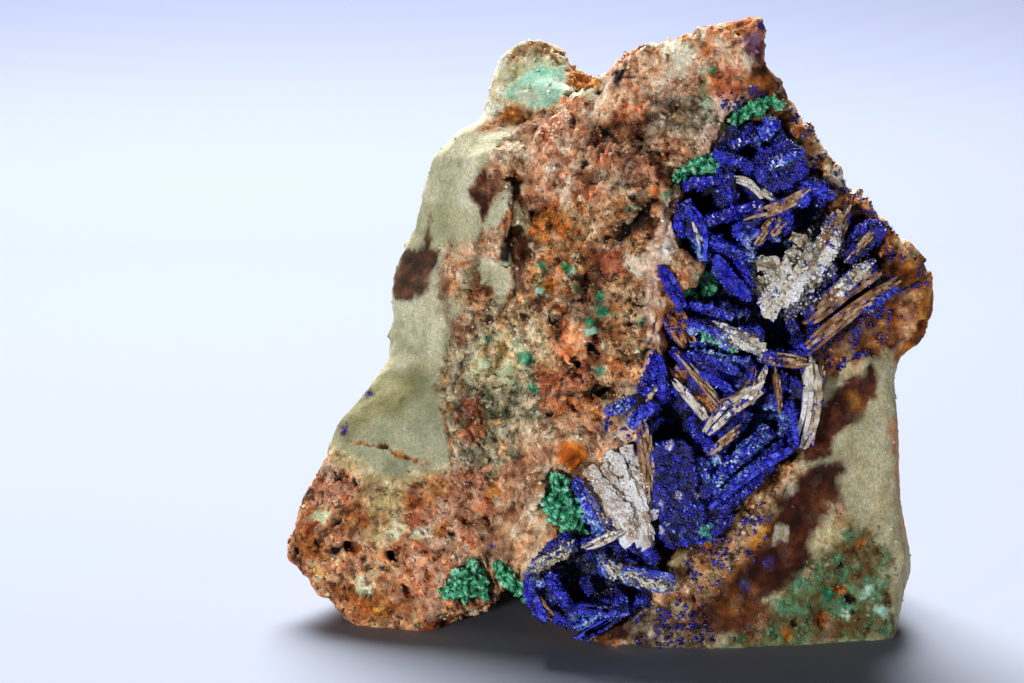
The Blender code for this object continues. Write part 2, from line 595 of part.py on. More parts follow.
def ground_tool():
    """Everything below the surface that the specimen stands on."""
    bm = bmesh.new()
    sizes = Matrix.Diagonal((GROUND_WIDE, GROUND_WIDE, GROUND_DEEP, 1.0))
    bmesh.ops.create_cube(bm, size=1.0, matrix=Matrix.Translation((0.0, 0.0, -GROUND_DEEP / 2)) @ sizes)
    return new_object("ground_tool", bm)


def pit_tool(tree, x, z, across, up, deep):
    """A rounded hole sunk into the front surface, each turned its own way."""
    bm = bmesh.new()
    centre = Vector((x, surface_depth(tree, x, z), z))
    add_ball(bm, centre, (across, deep, up), PIT_TURN * x, detail=1)
    return new_object("pit_tool", bm)


def seats_of(trees, balls):
    """Depths at which a growth's balls sit: the surfaces behind them, evened out."""
    depths = [min(surface_depth(tree, x, z) for tree in trees) for x, z, _ in balls]
    depths = [depth if depth < NOWHERE else min(depths) + SEAT_BEHIND for depth in depths]
    middle = sum(depths) / len(depths)
    uneven = [SEAT_FOLLOW * (depth - middle) for depth in depths]
    return [middle + max(-SEAT_SPREAD, min(SEAT_SPREAD, step)) for step in uneven]


def spray(name, seats, balls, gap):
    """One malachite growth, or its pocket with a gap all round: balls melted together on their seats."""
    bm = bmesh.new()
    for index, ((x, z, radius), seat) in enumerate(zip(balls, seats)):
        size = radius + gap
        centre = Vector((x, seat - BALL_STAND * radius, z))
        add_ball(bm, centre, (size, size * BALL_FLAT, size), BALL_TURN * index)
    growth = new_object(name, bm)
    melt(growth, BALL_GRAIN, BALL_FACES)
    keep_largest(growth)
    return growth


def paint(obj, material):
    """Give an object its one material and flat, faceted shading."""
    obj.data.materials.clear()
    obj.data.materials.append(material)
    for poly in obj.data.polygons:
        poly.use_smooth = False


def stand_at_origin(objects):
    """Move all solids so that the middle of their base is the origin, and turn them to metres."""
    places = [vert.co for obj in objects for vert in obj.data.vertices]
    low = Vector([min(place[axis] for place in places) for axis in range(3)])
    high = Vector([max(place[axis] for place in places) for axis in range(3)])
    middle = Vector(((low.x + high.x) / 2, (low.y + high.y) / 2, low.z))
    for obj in objects:
        obj.data.transform(Matrix.Scale(MM, 4) @ Matrix.Translation(-middle))


def main():
    """Build the host rock, its crust and the malachite growths."""
    clear_scene()
    rock = make_rough_rock()
    hollow = make_hollow()
    crust = make_crust(hollow)
    combine(rock, hollow, "DIFFERENCE")
    tree = tree_of(rock)
    for pit in PITS:
        combine(rock, pit_tool(tree, *pit), "DIFFERENCE")
    combine(rock, ground_tool(), "DIFFERENCE")

    growths = []
    seats = {name: seats_of((tree_of(rock), tree_of(crust)), balls) for name, balls in MALACHITE.items()}
    for name, balls in MALACHITE.items():
        combine(rock, spray("pocket_tool", seats[name], balls, SOLID_GAP), "DIFFERENCE")
        combine(crust, spray("pocket_tool", seats[name], balls, SOLID_GAP), "DIFFERENCE")
        growths.append(spray(name, seats[name], balls, 0.0))
    keep_largest(rock)
    keep_largest(crust)

    paint(rock, mineral("iron_stained_limestone", ROCK_COLOUR, ROCK_ROUGHNESS))
    paint(crust, mineral("azurite", AZURITE_COLOUR, AZURITE_ROUGHNESS))
    green = mineral("malachite", MALACHITE_COLOUR, MALACHITE_ROUGHNESS)
    for growth in growths:
        paint(growth, green)
    stand_at_origin([rock, crust, *growths])


main()
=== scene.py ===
"""Looks of a hand specimen: azurite druse and malachite tufts in a hollow of iron-stained host rock.

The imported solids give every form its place. Each class here takes a merged copy of the solids that
it stands for, carves the fine surface into it and grows the small crystals on it. Places and sizes
are in millimetres and colours are linear, unless a word says otherwise.
"""

import itertools
import logging
import math
import re
from dataclasses import dataclass, field
from enum import Enum
from typing import Iterator, Sequence

import bmesh
import bpy
import numpy as np
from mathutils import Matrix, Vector


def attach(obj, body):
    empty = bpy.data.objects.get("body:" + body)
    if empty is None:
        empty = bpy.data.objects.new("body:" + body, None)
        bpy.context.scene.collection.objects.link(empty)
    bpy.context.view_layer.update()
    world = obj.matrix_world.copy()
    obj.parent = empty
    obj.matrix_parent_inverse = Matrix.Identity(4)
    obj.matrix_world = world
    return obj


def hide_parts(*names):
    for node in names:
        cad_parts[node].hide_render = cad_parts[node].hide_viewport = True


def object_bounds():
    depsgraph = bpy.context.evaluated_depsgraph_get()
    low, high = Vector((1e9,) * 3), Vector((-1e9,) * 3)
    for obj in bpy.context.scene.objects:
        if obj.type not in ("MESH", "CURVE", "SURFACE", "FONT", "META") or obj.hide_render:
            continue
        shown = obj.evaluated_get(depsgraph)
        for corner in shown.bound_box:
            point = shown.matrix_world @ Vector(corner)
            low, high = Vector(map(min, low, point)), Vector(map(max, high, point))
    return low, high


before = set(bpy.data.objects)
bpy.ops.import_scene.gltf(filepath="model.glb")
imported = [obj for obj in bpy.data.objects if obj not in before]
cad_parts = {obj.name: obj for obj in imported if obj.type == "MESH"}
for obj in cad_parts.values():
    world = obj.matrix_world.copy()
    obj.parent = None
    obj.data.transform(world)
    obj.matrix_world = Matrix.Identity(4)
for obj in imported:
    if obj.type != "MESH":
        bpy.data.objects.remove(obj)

LOG = logging.getLogger("specimen")
CAD_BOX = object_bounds()
BODY = "root"
MM = 0.001                       # one millimetre in metres
MICRON = 1e-6                    # one thousandth of it

Array = np.ndarray
Chance = np.random.Generator
Piece = bpy.types.Object
Mesh = bpy.types.Mesh
Socket = bpy.types.NodeSocket
Tree = bpy.types.NodeTree
Outline = Sequence[tuple[float, float]]
Stops = Sequence[tuple[float, float]]

# Odd 64-bit multipliers that scatter the bits of a cell's three whole-number places.
SCATTER_X = np.uint64(0x9E3779B97F4A7C15)
SCATTER_Y = np.uint64(0xC2B2AE3D27D4EB4F)
SCATTER_Z = np.uint64(0x165667B19E3779F9)
SCATTER_ALL = np.uint64(0xD6E8FEB86659FD93)
SEED_STEP = 0x2545F4914F6CDD1D
WORD = (1 << 64) - 1
FIELD_BITS = 21                  # bits of a scattered word that make one random number
FIELD_MASK = np.uint64((1 << FIELD_BITS) - 1)
SWELL_GAIN = 1.7                 # brings smooth noise to between about -1 and 1
OCTAVE_FADE = 1.8                # how much weaker each finer swell is
OCTAVE_SEED = 17                 # step from one swell's pattern to the next one's
FACET_TILT = 2.4                 # how steeply the faces of broken grains lean
LUMP_FALL = 1.6                  # how fast a rounded grain falls off from its middle


# ---- Colour and noise ----


def linear(colour: str) -> tuple[float, float, float, float]:
    """Turn an sRGB hex colour to linear red, green, blue and full alpha.

    Args:
        colour: six hex digits after a hash.

    Returns:
        The linear colour that Blender's sockets take.
    """
    parts = [int(colour[at:at + 2], 16) / 255 for at in (1, 3, 5)]
    bright = [part / 12.92 if part <= 0.04045 else ((part + 0.055) / 1.055) ** 2.4 for part in parts]
    return (*bright, 1.0)


def row_of(colour: str) -> Array:
    """An sRGB hex colour as linear red, green and blue."""
    return np.array(linear(colour)[:3])


def mix_colours(palette: str, place: Array) -> Array:
    """Read a run of sRGB hex colours at places from 0 to 1, as linear rows."""
    stops = np.array([row_of(colour) for colour in palette.split()])
    spot = np.clip(place, 0.0, 1.0) * (len(stops) - 1)
    return np.stack([np.interp(spot, range(len(stops)), stops[:, lane]) for lane in range(3)], axis=1)


def smoothstep(low: float, high: float, value: Array) -> Array:
    """Rise smoothly from 0 at low to 1 at high."""
    part = np.clip((value - low) / (high - low), 0.0, 1.0)
    return part * part * (3.0 - 2.0 * part)


def random_three(cell: Array, seed: int) -> Array:
    """Three random numbers from 0 to 1 for each whole-number cell.

    Args:
        cell: cells as rows of three integers.
        seed: which of many unlike patterns to read.

    Returns:
        One row of three numbers for each cell.
    """
    x, y, z = (cell[:, axis].astype(np.uint64) for axis in range(3))
    word = (x * SCATTER_X) ^ (y * SCATTER_Y) ^ (z * SCATTER_Z) ^ np.uint64((seed + 1) * SEED_STEP & WORD)
    for _ in range(2):
        word ^= word >> np.uint64(32)
        word *= SCATTER_ALL
    word ^= word >> np.uint64(29)
    fields = [(word >> np.uint64(FIELD_BITS * at)) & FIELD_MASK for at in range(3)]
    return np.stack(fields, axis=1).astype(np.float64) / float(FIELD_MASK)


def swell(points: Array, size: float, seed: int) -> Array:
    """Smooth noise, mostly between -1 and 1, whose swells are size millimetres apart.

    Args:
        points: places.
        size: spacing of the swells.
        seed: which pattern to read; each number gives another one.

    Returns:
        One value for each place.
    """
    scaled = points / size
    home = np.floor(scaled)
    part = scaled - home
    cell = home.astype(np.int64)
    fade = part ** 3 * (part * (part * 6.0 - 15.0) + 10.0)
    total = np.zeros(len(points))
    for corner in itertools.product((0, 1), repeat=3):
        step = np.array(corner)
        slope = random_three(cell + step, seed) * 2.0 - 1.0
        weight = np.prod(np.where(step == 1, fade, 1.0 - fade), axis=1)
        total += weight * np.einsum("ij,ij->i", slope, part - step)
    return total * SWELL_GAIN


def fractal(points: Array, size: float, seed: int, octaves: int = 3) -> Array:
    """Swells of one size with finer, weaker ones on them."""
    total = np.zeros(len(points))
    for octave in range(octaves):
        finer = swell(points, size / 2 ** octave, seed + OCTAVE_SEED * octave)
        total += finer / OCTAVE_FADE ** octave
    return total


@dataclass
class Chips:
    """Broken grains that fill space: how each place lies in its own grain.

    Args:
        near: distance to the grain's middle, in grain sizes.
        away: vector from the grain's middle to the place, in grain sizes.
        luck: three random numbers of the grain.
    """

    near: Array
    away: Array
    luck: Array

    def facets(self) -> Array:
        """Height of flat, tilted grain faces, mostly between -1 and 1."""
        slope = (self.luck - 0.5) * FACET_TILT
        return (self.luck[:, 0] - 0.5) + np.einsum("ij,ij->i", slope, self.away)

    def lumps(self) -> Array:
        """Height of rounded grains, from 0 in the seams to about 1."""
        return np.clip(1.0 - self.near ** 2 * LUMP_FALL, 0.0, 1.0)


def chips_at(points: Array, size: float, seed: int) -> Chips:
    """Find the grain that holds each place.

    Args:
        points: places.
        size: grain size.
        seed: which pattern to read.

    Returns:
        The grains' values at those places.
    """
    scaled = points / size
    home = np.floor(scaled).astype(np.int64)
    near = np.full(len(points), np.inf)
    away = np.zeros_like(points)
    luck = np.zeros_like(points)
    for shift in itertools.product((-1, 0, 1), repeat=3):
        cell = home + np.array(shift)
        own = random_three(cell, seed)
        offset = scaled - (cell + own)
        distance = np.sqrt(np.einsum("ij,ij->i", offset, offset))
        closer = distance < near
        near = np.where(closer, distance, near)
        away[closer] = offset[closer]
        luck[closer] = own[closer]
    return Chips(near, away, luck)


# ---- The view in which outlines are given ----


@dataclass(frozen=True)
class Sight:
    """The front view, in a frame of 1024 by 683 pixels, in which mineral outlines are given.

    Args:
        target: point in the middle of the frame.
        distance: from the camera to the target.
        elevation: how far the camera looks down, in degrees.
        lens: focal length.
        sensor: width of the sensor.
        wide: frame width in pixels.
        high: frame height in pixels.
        nearer: how much nearer than the target the specimen's front is.
    """

    target: tuple[float, float, float] = (-11.98, -1.30, 34.4)
    distance: float = 420.0
    elevation: float = 12.0
    lens: float = 116.3
    sensor: float = 36.0
    wide: float = 1024.0
    high: float = 683.0
    nearer: float = 20.0

    def axes(self) -> tuple[Array, Array, Array]:
        """Directions to the right, up and into the view."""
        tilt = math.radians(self.elevation)
        right = np.array((1.0, 0.0, 0.0))
        up = np.array((0.0, math.sin(tilt), math.cos(tilt)))
        into = np.array((0.0, math.cos(tilt), -math.sin(tilt)))
        return right, up, into

    def eye(self) -> Array:
        """Where the camera stands."""
        return np.array(self.target) - self.axes()[2] * self.distance

    def focal(self) -> float:
        """Focal length in pixels."""
        return self.lens / self.sensor * self.wide

    def project(self, points: Array) -> Array:
        """Frame pixels of places in millimetres, as rows of across and down."""
        right, up, into = self.axes()
        seen = points - self.eye()
        depth = seen @ into
        across = self.wide / 2 + self.focal() * (seen @ right) / depth
        down = self.high / 2 - self.focal() * (seen @ up) / depth
        return np.stack((across, down), axis=1)

    def pixel_mm(self) -> float:
        """Size of one pixel near the front of the specimen."""
        return (self.distance - self.nearer) / self.focal()

    def ray(self, across: float, down: float) -> Array:
        """Direction from the eye through a pixel."""
        right, up, into = self.axes()
        side = (across - self.wide / 2) / self.focal()
        rise = (self.high / 2 - down) / self.focal()
        return into + right * side + up * rise


SIGHT = Sight()


@dataclass(frozen=True)
class HollowFace:
    """The plane of the hollow's rim, which leans back and turns a little to the right.

    Args:
        at_origin: its depth at the origin.
        per_x: depth gained for each millimetre to the right.
        per_z: depth gained for each millimetre up.
    """

    at_origin: float = -24.954
    per_x: float = 0.072
    per_z: float = 0.209

    def outward(self) -> Vector:
        """The direction that the face looks in."""
        return Vector((self.per_x, -1.0, self.per_z)).normalized()

    def depth(self, points: Array) -> Array:
        """How far places lie behind the rim plane, in millimetres; negative in front of it."""
        rim = self.at_origin + self.per_x * points[:, 0] + self.per_z * points[:, 2]
        return points[:, 1] - rim

    def seen_at(self, across: float, down: float, stand: float = 0.0) -> Vector:
        """The place on the face behind a pixel, moved out of it by stand millimetres."""
        eye = SIGHT.eye()
        ray = SIGHT.ray(across, down)
        slope = np.array((-self.per_x, 1.0, -self.per_z))
        reach = (self.at_origin - eye @ slope) / (ray @ slope)
        return Vector(eye + ray * reach) + self.outward() * stand


FACE = HollowFace()


def numbers_of(word: str) -> tuple[float, ...]:
    """The numbers in a word, parted by commas."""
    return tuple(float(part) for part in word.split(","))


def rows_of(table: str) -> Iterator[tuple[str, list[str]]]:
    """The rows of a table: each begins with a name in capitals, and its words follow."""
    for row in re.split(r"\s+(?=[A-Z])", table.strip()):
        name, *words = row.split()
        yield name, words


def corners_of(points: str) -> Outline:
    """The corners that a list of x,y pairs names, in frame pixels."""
    return tuple(numbers_of(pair) for pair in points.split())


def outlines_of(table: str) -> tuple[Outline, ...]:
    """The outlines that a table names, one on each line."""
    return tuple(corners_of(line) for line in table.strip().splitlines())


def off_segment(pixels: Array, start: Array, end: Array) -> Array:
    """Squared distance of pixels from the straight line between two corners."""
    run = end - start
    along = np.clip(((pixels - start) @ run) / max(run @ run, 1e-9), 0.0, 1.0)
    miss = pixels - start - along[:, None] * run
    return np.einsum("ij,ij->i", miss, miss)


def outline_depth(pixels: Array, outline: Outline) -> Array:
    """Distance of pixels inside a closed outline, negative outside it.

    Args:
        pixels: rows of across and down.
        outline: corners of the outline in pixels.

    Returns:
        One signed distance in pixels for each row.
    """
    corners = np.array(outline, float)
    nearest = np.full(len(pixels), np.inf)
    inside = np.zeros(len(pixels), bool)
    x, y = pixels[:, 0], pixels[:, 1]
    for start, end in zip(corners, np.roll(corners, -1, axis=0)):
        nearest = np.minimum(nearest, off_segment(pixels, start, end))
        if start[1] != end[1]:
            spans = (start[1] > y) != (end[1] > y)
            cross = start[0] + (y - start[1]) / (end[1] - start[1]) * (end[0] - start[0])
            inside ^= spans & (x < cross)
    return np.where(inside, 1.0, -1.0) * np.sqrt(nearest)


def share_inside(
    pixels: Array, outlines: Sequence[Outline], border: tuple[float, float] = (-4.0, 3.0),
) -> Array:
    """How far places lie inside any of some outlines.

    Args:
        pixels: rows of across and down.
        outlines: the outlines.
        border: the depths in pixels at which the share is 0 and 1.

    Returns:
        A share from 0 to 1 for each row.
    """
    depths = [outline_depth(pixels, outline) for outline in outlines]
    return smoothstep(*border, np.max(depths, axis=0))


def line_distance(pixels: Array, line: Outline) -> Array:
    """Distance of pixels from an open line through the given corners."""
    corners = np.array(line, float)
    return np.sqrt(np.min([off_segment(pixels, *ends) for ends in zip(corners[:-1], corners[1:])], axis=0))


# ---- Minerals of the host rock and where they lie ----


@dataclass(frozen=True)
class Relief:
    """Height of each kind of relief on a mineral.

    Args:
        swell: broad rise and fall.
        block: flat broken faces of about 3 mm.
        chip: flat broken faces of about 1.1 mm.
        lump: rounded grains of about 1.7 mm.
        grain: fine roughness.
        pore: depth of small leached holes.
        fibre: upright fibrous grooves.
    """

    swell: float
    block: float
    chip: float
    lump: float
    grain: float
    pore: float
    fibre: float

    def row(self) -> Array:
        """The heights as one array."""
        return np.array((self.swell, self.block, self.chip, self.lump, self.grain, self.pore, self.fibre))


@dataclass(frozen=True)
class Mix:
    """Colours of one kind of rock, from dark to light, and how they are spread over it.

    Args:
        palette: sRGB hex colours in the order in which they run into each other.
        broad: share of the spread that changes over 5 mm.
        mid: share that changes over 1.8 mm.
        fine: share that changes over 0.6 mm.
        speck: share that changes from grain to grain.
        relief: the mineral's relief.
    """

    palette: str
    broad: float
    mid: float
    fine: float
    speck: float
    relief: Relief


def minerals_of(table: str) -> dict[str, Mix]:
    """Read kinds of rock from a table.

    Args:
        table: rows of a name, the four shares of the spread from broad to speck, the heights of the
            relief from swell to fibre, and the palette.

    Returns:
        The mixes by name.
    """
    minerals = {}
    for name, words in rows_of(table):
        spread, heights = map(float, words[:4]), map(float, words[4:11])
        minerals[name] = Mix(" ".join(words[11:]), *spread, Relief(*heights))
    return minerals


# The kinds of rock that show on the specimen. Three mixes stand for painted shade, not rock: the
# near-black one of holes and cracks, the dark brown one of the hollow's walls, and the darker sage one.
Mineral = Enum("Mineral", minerals_of("""
SAGE 0.5 0.3 0.5 0.45 0.16 0 0.03 0 0.09 0 0.02 #9ea588 #b8bca2 #cccfb8 #dedfce
SAGE_SHADE 0.4 0.4 0.4 0.1 0.1 0 0 0 0.04 0 0 #6f7648 #8a9063 #a0a57e
FACET 0.6 0.3 0.4 0.35 0.06 0 0 0 0.05 0 0.03 #767e66 #939a80 #a7ad94 #b8bea6
FACET_OLIVE 0.5 0.4 0.4 0.3 0.06 0 0 0 0.05 0 0.03 #6c6a40 #8a885a #a4a478
FACET_RIM 0.4 0.6 0.6 0.4 0.2 0 0.12 0 0.1 0.1 0 #a08860 #c6b98c #d8d0ac #e6e0c8
SCHIST 0.4 0.4 0.5 0.4 0.12 0 0.04 0 0.08 0 0.04 #a29474 #b6b392 #c6c6a8 #d4d4be
SCHIST_EDGE 0.4 0.5 0.4 0.2 0.2 0 0 0 0.08 0 0 #a8704c #c08c68 #cdb394
FLANK 1 0.4 0.3 0.15 0.5 0.45 0.1 0 0.07 0 0 #7d6a4c #9c9470 #aeb08c #c0c0a0
VEIN 0.7 0.9 0.5 0.5 0.45 0.4 0.26 0 0.1 0.3 0 #55301f #85543a #ab7b58 #c4a382 #dcc8b0
BROWN 0.8 0.9 0.6 0.6 0.4 0.35 0.28 0 0.1 0.2 0 #5e3522 #965f40 #ba7c58 #d2a484 #e4caac
GREY_BROWN 0.6 0.9 0.7 0.6 0.4 0.3 0.26 0 0.1 0.15 0 #4a3c2e #6e5e4a #8c8068 #a8a08a #c4bdac
PINK 0.7 0.9 0.6 0.6 0.35 0.3 0.22 0 0.08 0.1 0 #a2664a #d09676 #e2b69a #eed8c6 #f2ece4
PINK_TAN 0.9 0.9 0.5 0.4 0.3 0.25 0.16 0 0.08 0.15 0.15 #7c5840 #aa8062 #c69c7e #d8bb9c #e8dac6
ORANGE_TAN 0.8 0.9 0.5 0.4 0.45 0.35 0.26 0.2 0.1 0.6 0 #523620 #865f3e #ad855c #c8a17a #dac2a0
PEACH 0.5 0.7 0.6 0.4 0.3 0.3 0 0.3 0.06 0.2 0 #b06438 #d08a5a #e0aa84 #ecc8aa
SPECKLE 0.6 0.8 0.8 0.8 0.3 0.2 0.28 0 0.1 0.4 0 #454c3c #717a62 #989c82 #b8b096 #d2ccb6
SPECKLE_TAN 0.6 0.9 0.7 0.7 0.3 0.25 0.28 0 0.1 0.35 0 #5e4636 #917459 #b89e7c #d0c29e #e0d8bc
RED 0.5 0.7 0.6 0.6 0.35 0.4 0.2 0 0.06 0.15 0 #7a3620 #a8563a #c47a56 #d8a68c
FOOT 0.7 0.9 0.6 0.5 0.5 0.1 0.1 0.32 0.09 0.7 0 #70422a #a06a48 #bf8a66 #d0a482 #c9b894
FOOT_PINK 0.6 0.8 0.6 0.5 0.4 0.2 0.15 0.2 0.08 0.3 0 #a0684e #c68e72 #d9b09a #d6c4ae
FOOT_OLIVE 0.5 0.8 0.6 0.4 0.35 0 0 0.3 0.08 0.5 0 #8a6c44 #a89468 #bcae80 #cac49c
FOOT_RUST 0.5 0.8 0.6 0.5 0.4 0 0 0.3 0.09 0.5 0 #5c3018 #8a4e26 #b07038 #c8905c
HEMATITE 0.6 0.8 0.6 0.5 0.12 0.05 0.02 0 0.07 0 0 #1e0b06 #38170e #502413 #6e4122
AMBER 0.7 0.9 0.5 0.3 0.25 0.35 0.05 0 0.05 0 0 #3a1806 #7e400e #b06c20 #d8a04c
SAND 0.3 0.6 0.8 0.8 0.2 0 0.25 0.15 0.12 0.2 0 #8e6c4c #b49674 #cab292 #dbc9ae
TURQUOISE 0.5 0.6 0.5 0.3 0.15 0 0.06 0 0.05 0 0 #74cfb4 #9fe0cc #c2eee2 #e6faf6
PALE_GREEN 0.5 0.7 0.6 0.5 0.2 0 0.1 0 0.08 0 0 #b2c8a0 #d0e2c0 #e2efd4 #eff6e6
CREST 0.8 0.9 0.6 0.6 0.35 0.3 0.22 0 0.09 0.15 0 #9e6c4a #d6a684 #eec8a8 #f6e4d0 #fdf6f0
UMBER 0.6 0.9 0.7 0.5 0.35 0.3 0.26 0 0.1 0.3 0 #40200f #6e4026 #98623f #ba8a66
BUFF 0.7 0.8 0.8 0.7 0.3 0.15 0.26 0 0.1 0.3 0 #77704c #a89c72 #cdbd96 #e2d8bc #c4d4ac
KNOB 0.8 0.7 0.5 0.4 0.3 0.2 0.1 0 0.08 0 0 #c4b690 #e2e4c6 #f0f8ea #f6fff8
FLAME 0.5 0.7 0.4 0.2 0.15 0.4 0 0 0.04 0 0 #b4520a #de7418 #f49632 #fcba60
OCHRE 0.5 0.8 0.6 0.5 0.3 0.2 0.25 0.1 0.08 0.2 0 #7c4214 #b46a20 #d08c34 #dfb060
WASH 0.8 0.8 0.6 0.6 0.25 0 0.2 0 0.1 0.2 0 #5a3d1c #6e5a34 #706c46 #637e58 #5a9c80
PALE_VEIN 0.6 0.8 0.6 0.3 0.3 0.2 0.12 0 0.06 0 0.28 #b98e76 #dcbaa6 #ecd6ca #f6f0ec
WHITE 0.4 0.5 0.4 0.3 0.1 0.2 0 0 0.04 0 0 #c8b49c #e0d8c8 #f0ece2
RIM 0.8 0.9 0.5 0.4 0.3 0.45 0.06 0.16 0.06 0.15 0 #84481a #c27c38 #e6b274 #f6dcb2 #fbf0dc
DARK 0.3 0.5 0.5 0.3 0.1 0 0 0 0.04 0 0 #080403 #160b08 #2a1610
WALL 0.5 0.8 0.5 0.4 0.3 0.2 0.15 0 0.06 0 0 #1a0f18 #3a2018 #6a3c22 #8a5c3a
VIOLET 0.3 0.5 0.6 0.6 0.05 0 0.1 0 0.06 0 0 #1c1038 #3a2672 #5448a0 #6a60b8
GREEN 0.3 0.7 0.6 0.8 0.05 0 0.12 0.25 0.08 0 0 #0f4632 #207a56 #4aa984 #93cfb0
"""))


@dataclass(frozen=True)
class Patch:
    """One mineral's ground on the front, given by its outline.

    Args:
        mineral: what shows inside.
        edge: width over which it fades in.
        stray: how far its border wanders from the outline.
        strength: share of the mineral in the middle, from 0 to 1.
        outline: its corners in frame pixels.
    """

    mineral: Mineral
    edge: float
    stray: float
    strength: float
    outline: Outline


def patches_of(table: str) -> list[Patch]:
    """Read patches from rows that give each one's fields in order."""
    rows = [(Mineral[name], [float(word) for word in words[:3]], words[3:]) for name, words in rows_of(table)]
    return [Patch(mineral, *sizes, tuple(map(numbers_of, pairs))) for mineral, sizes, pairs in rows]


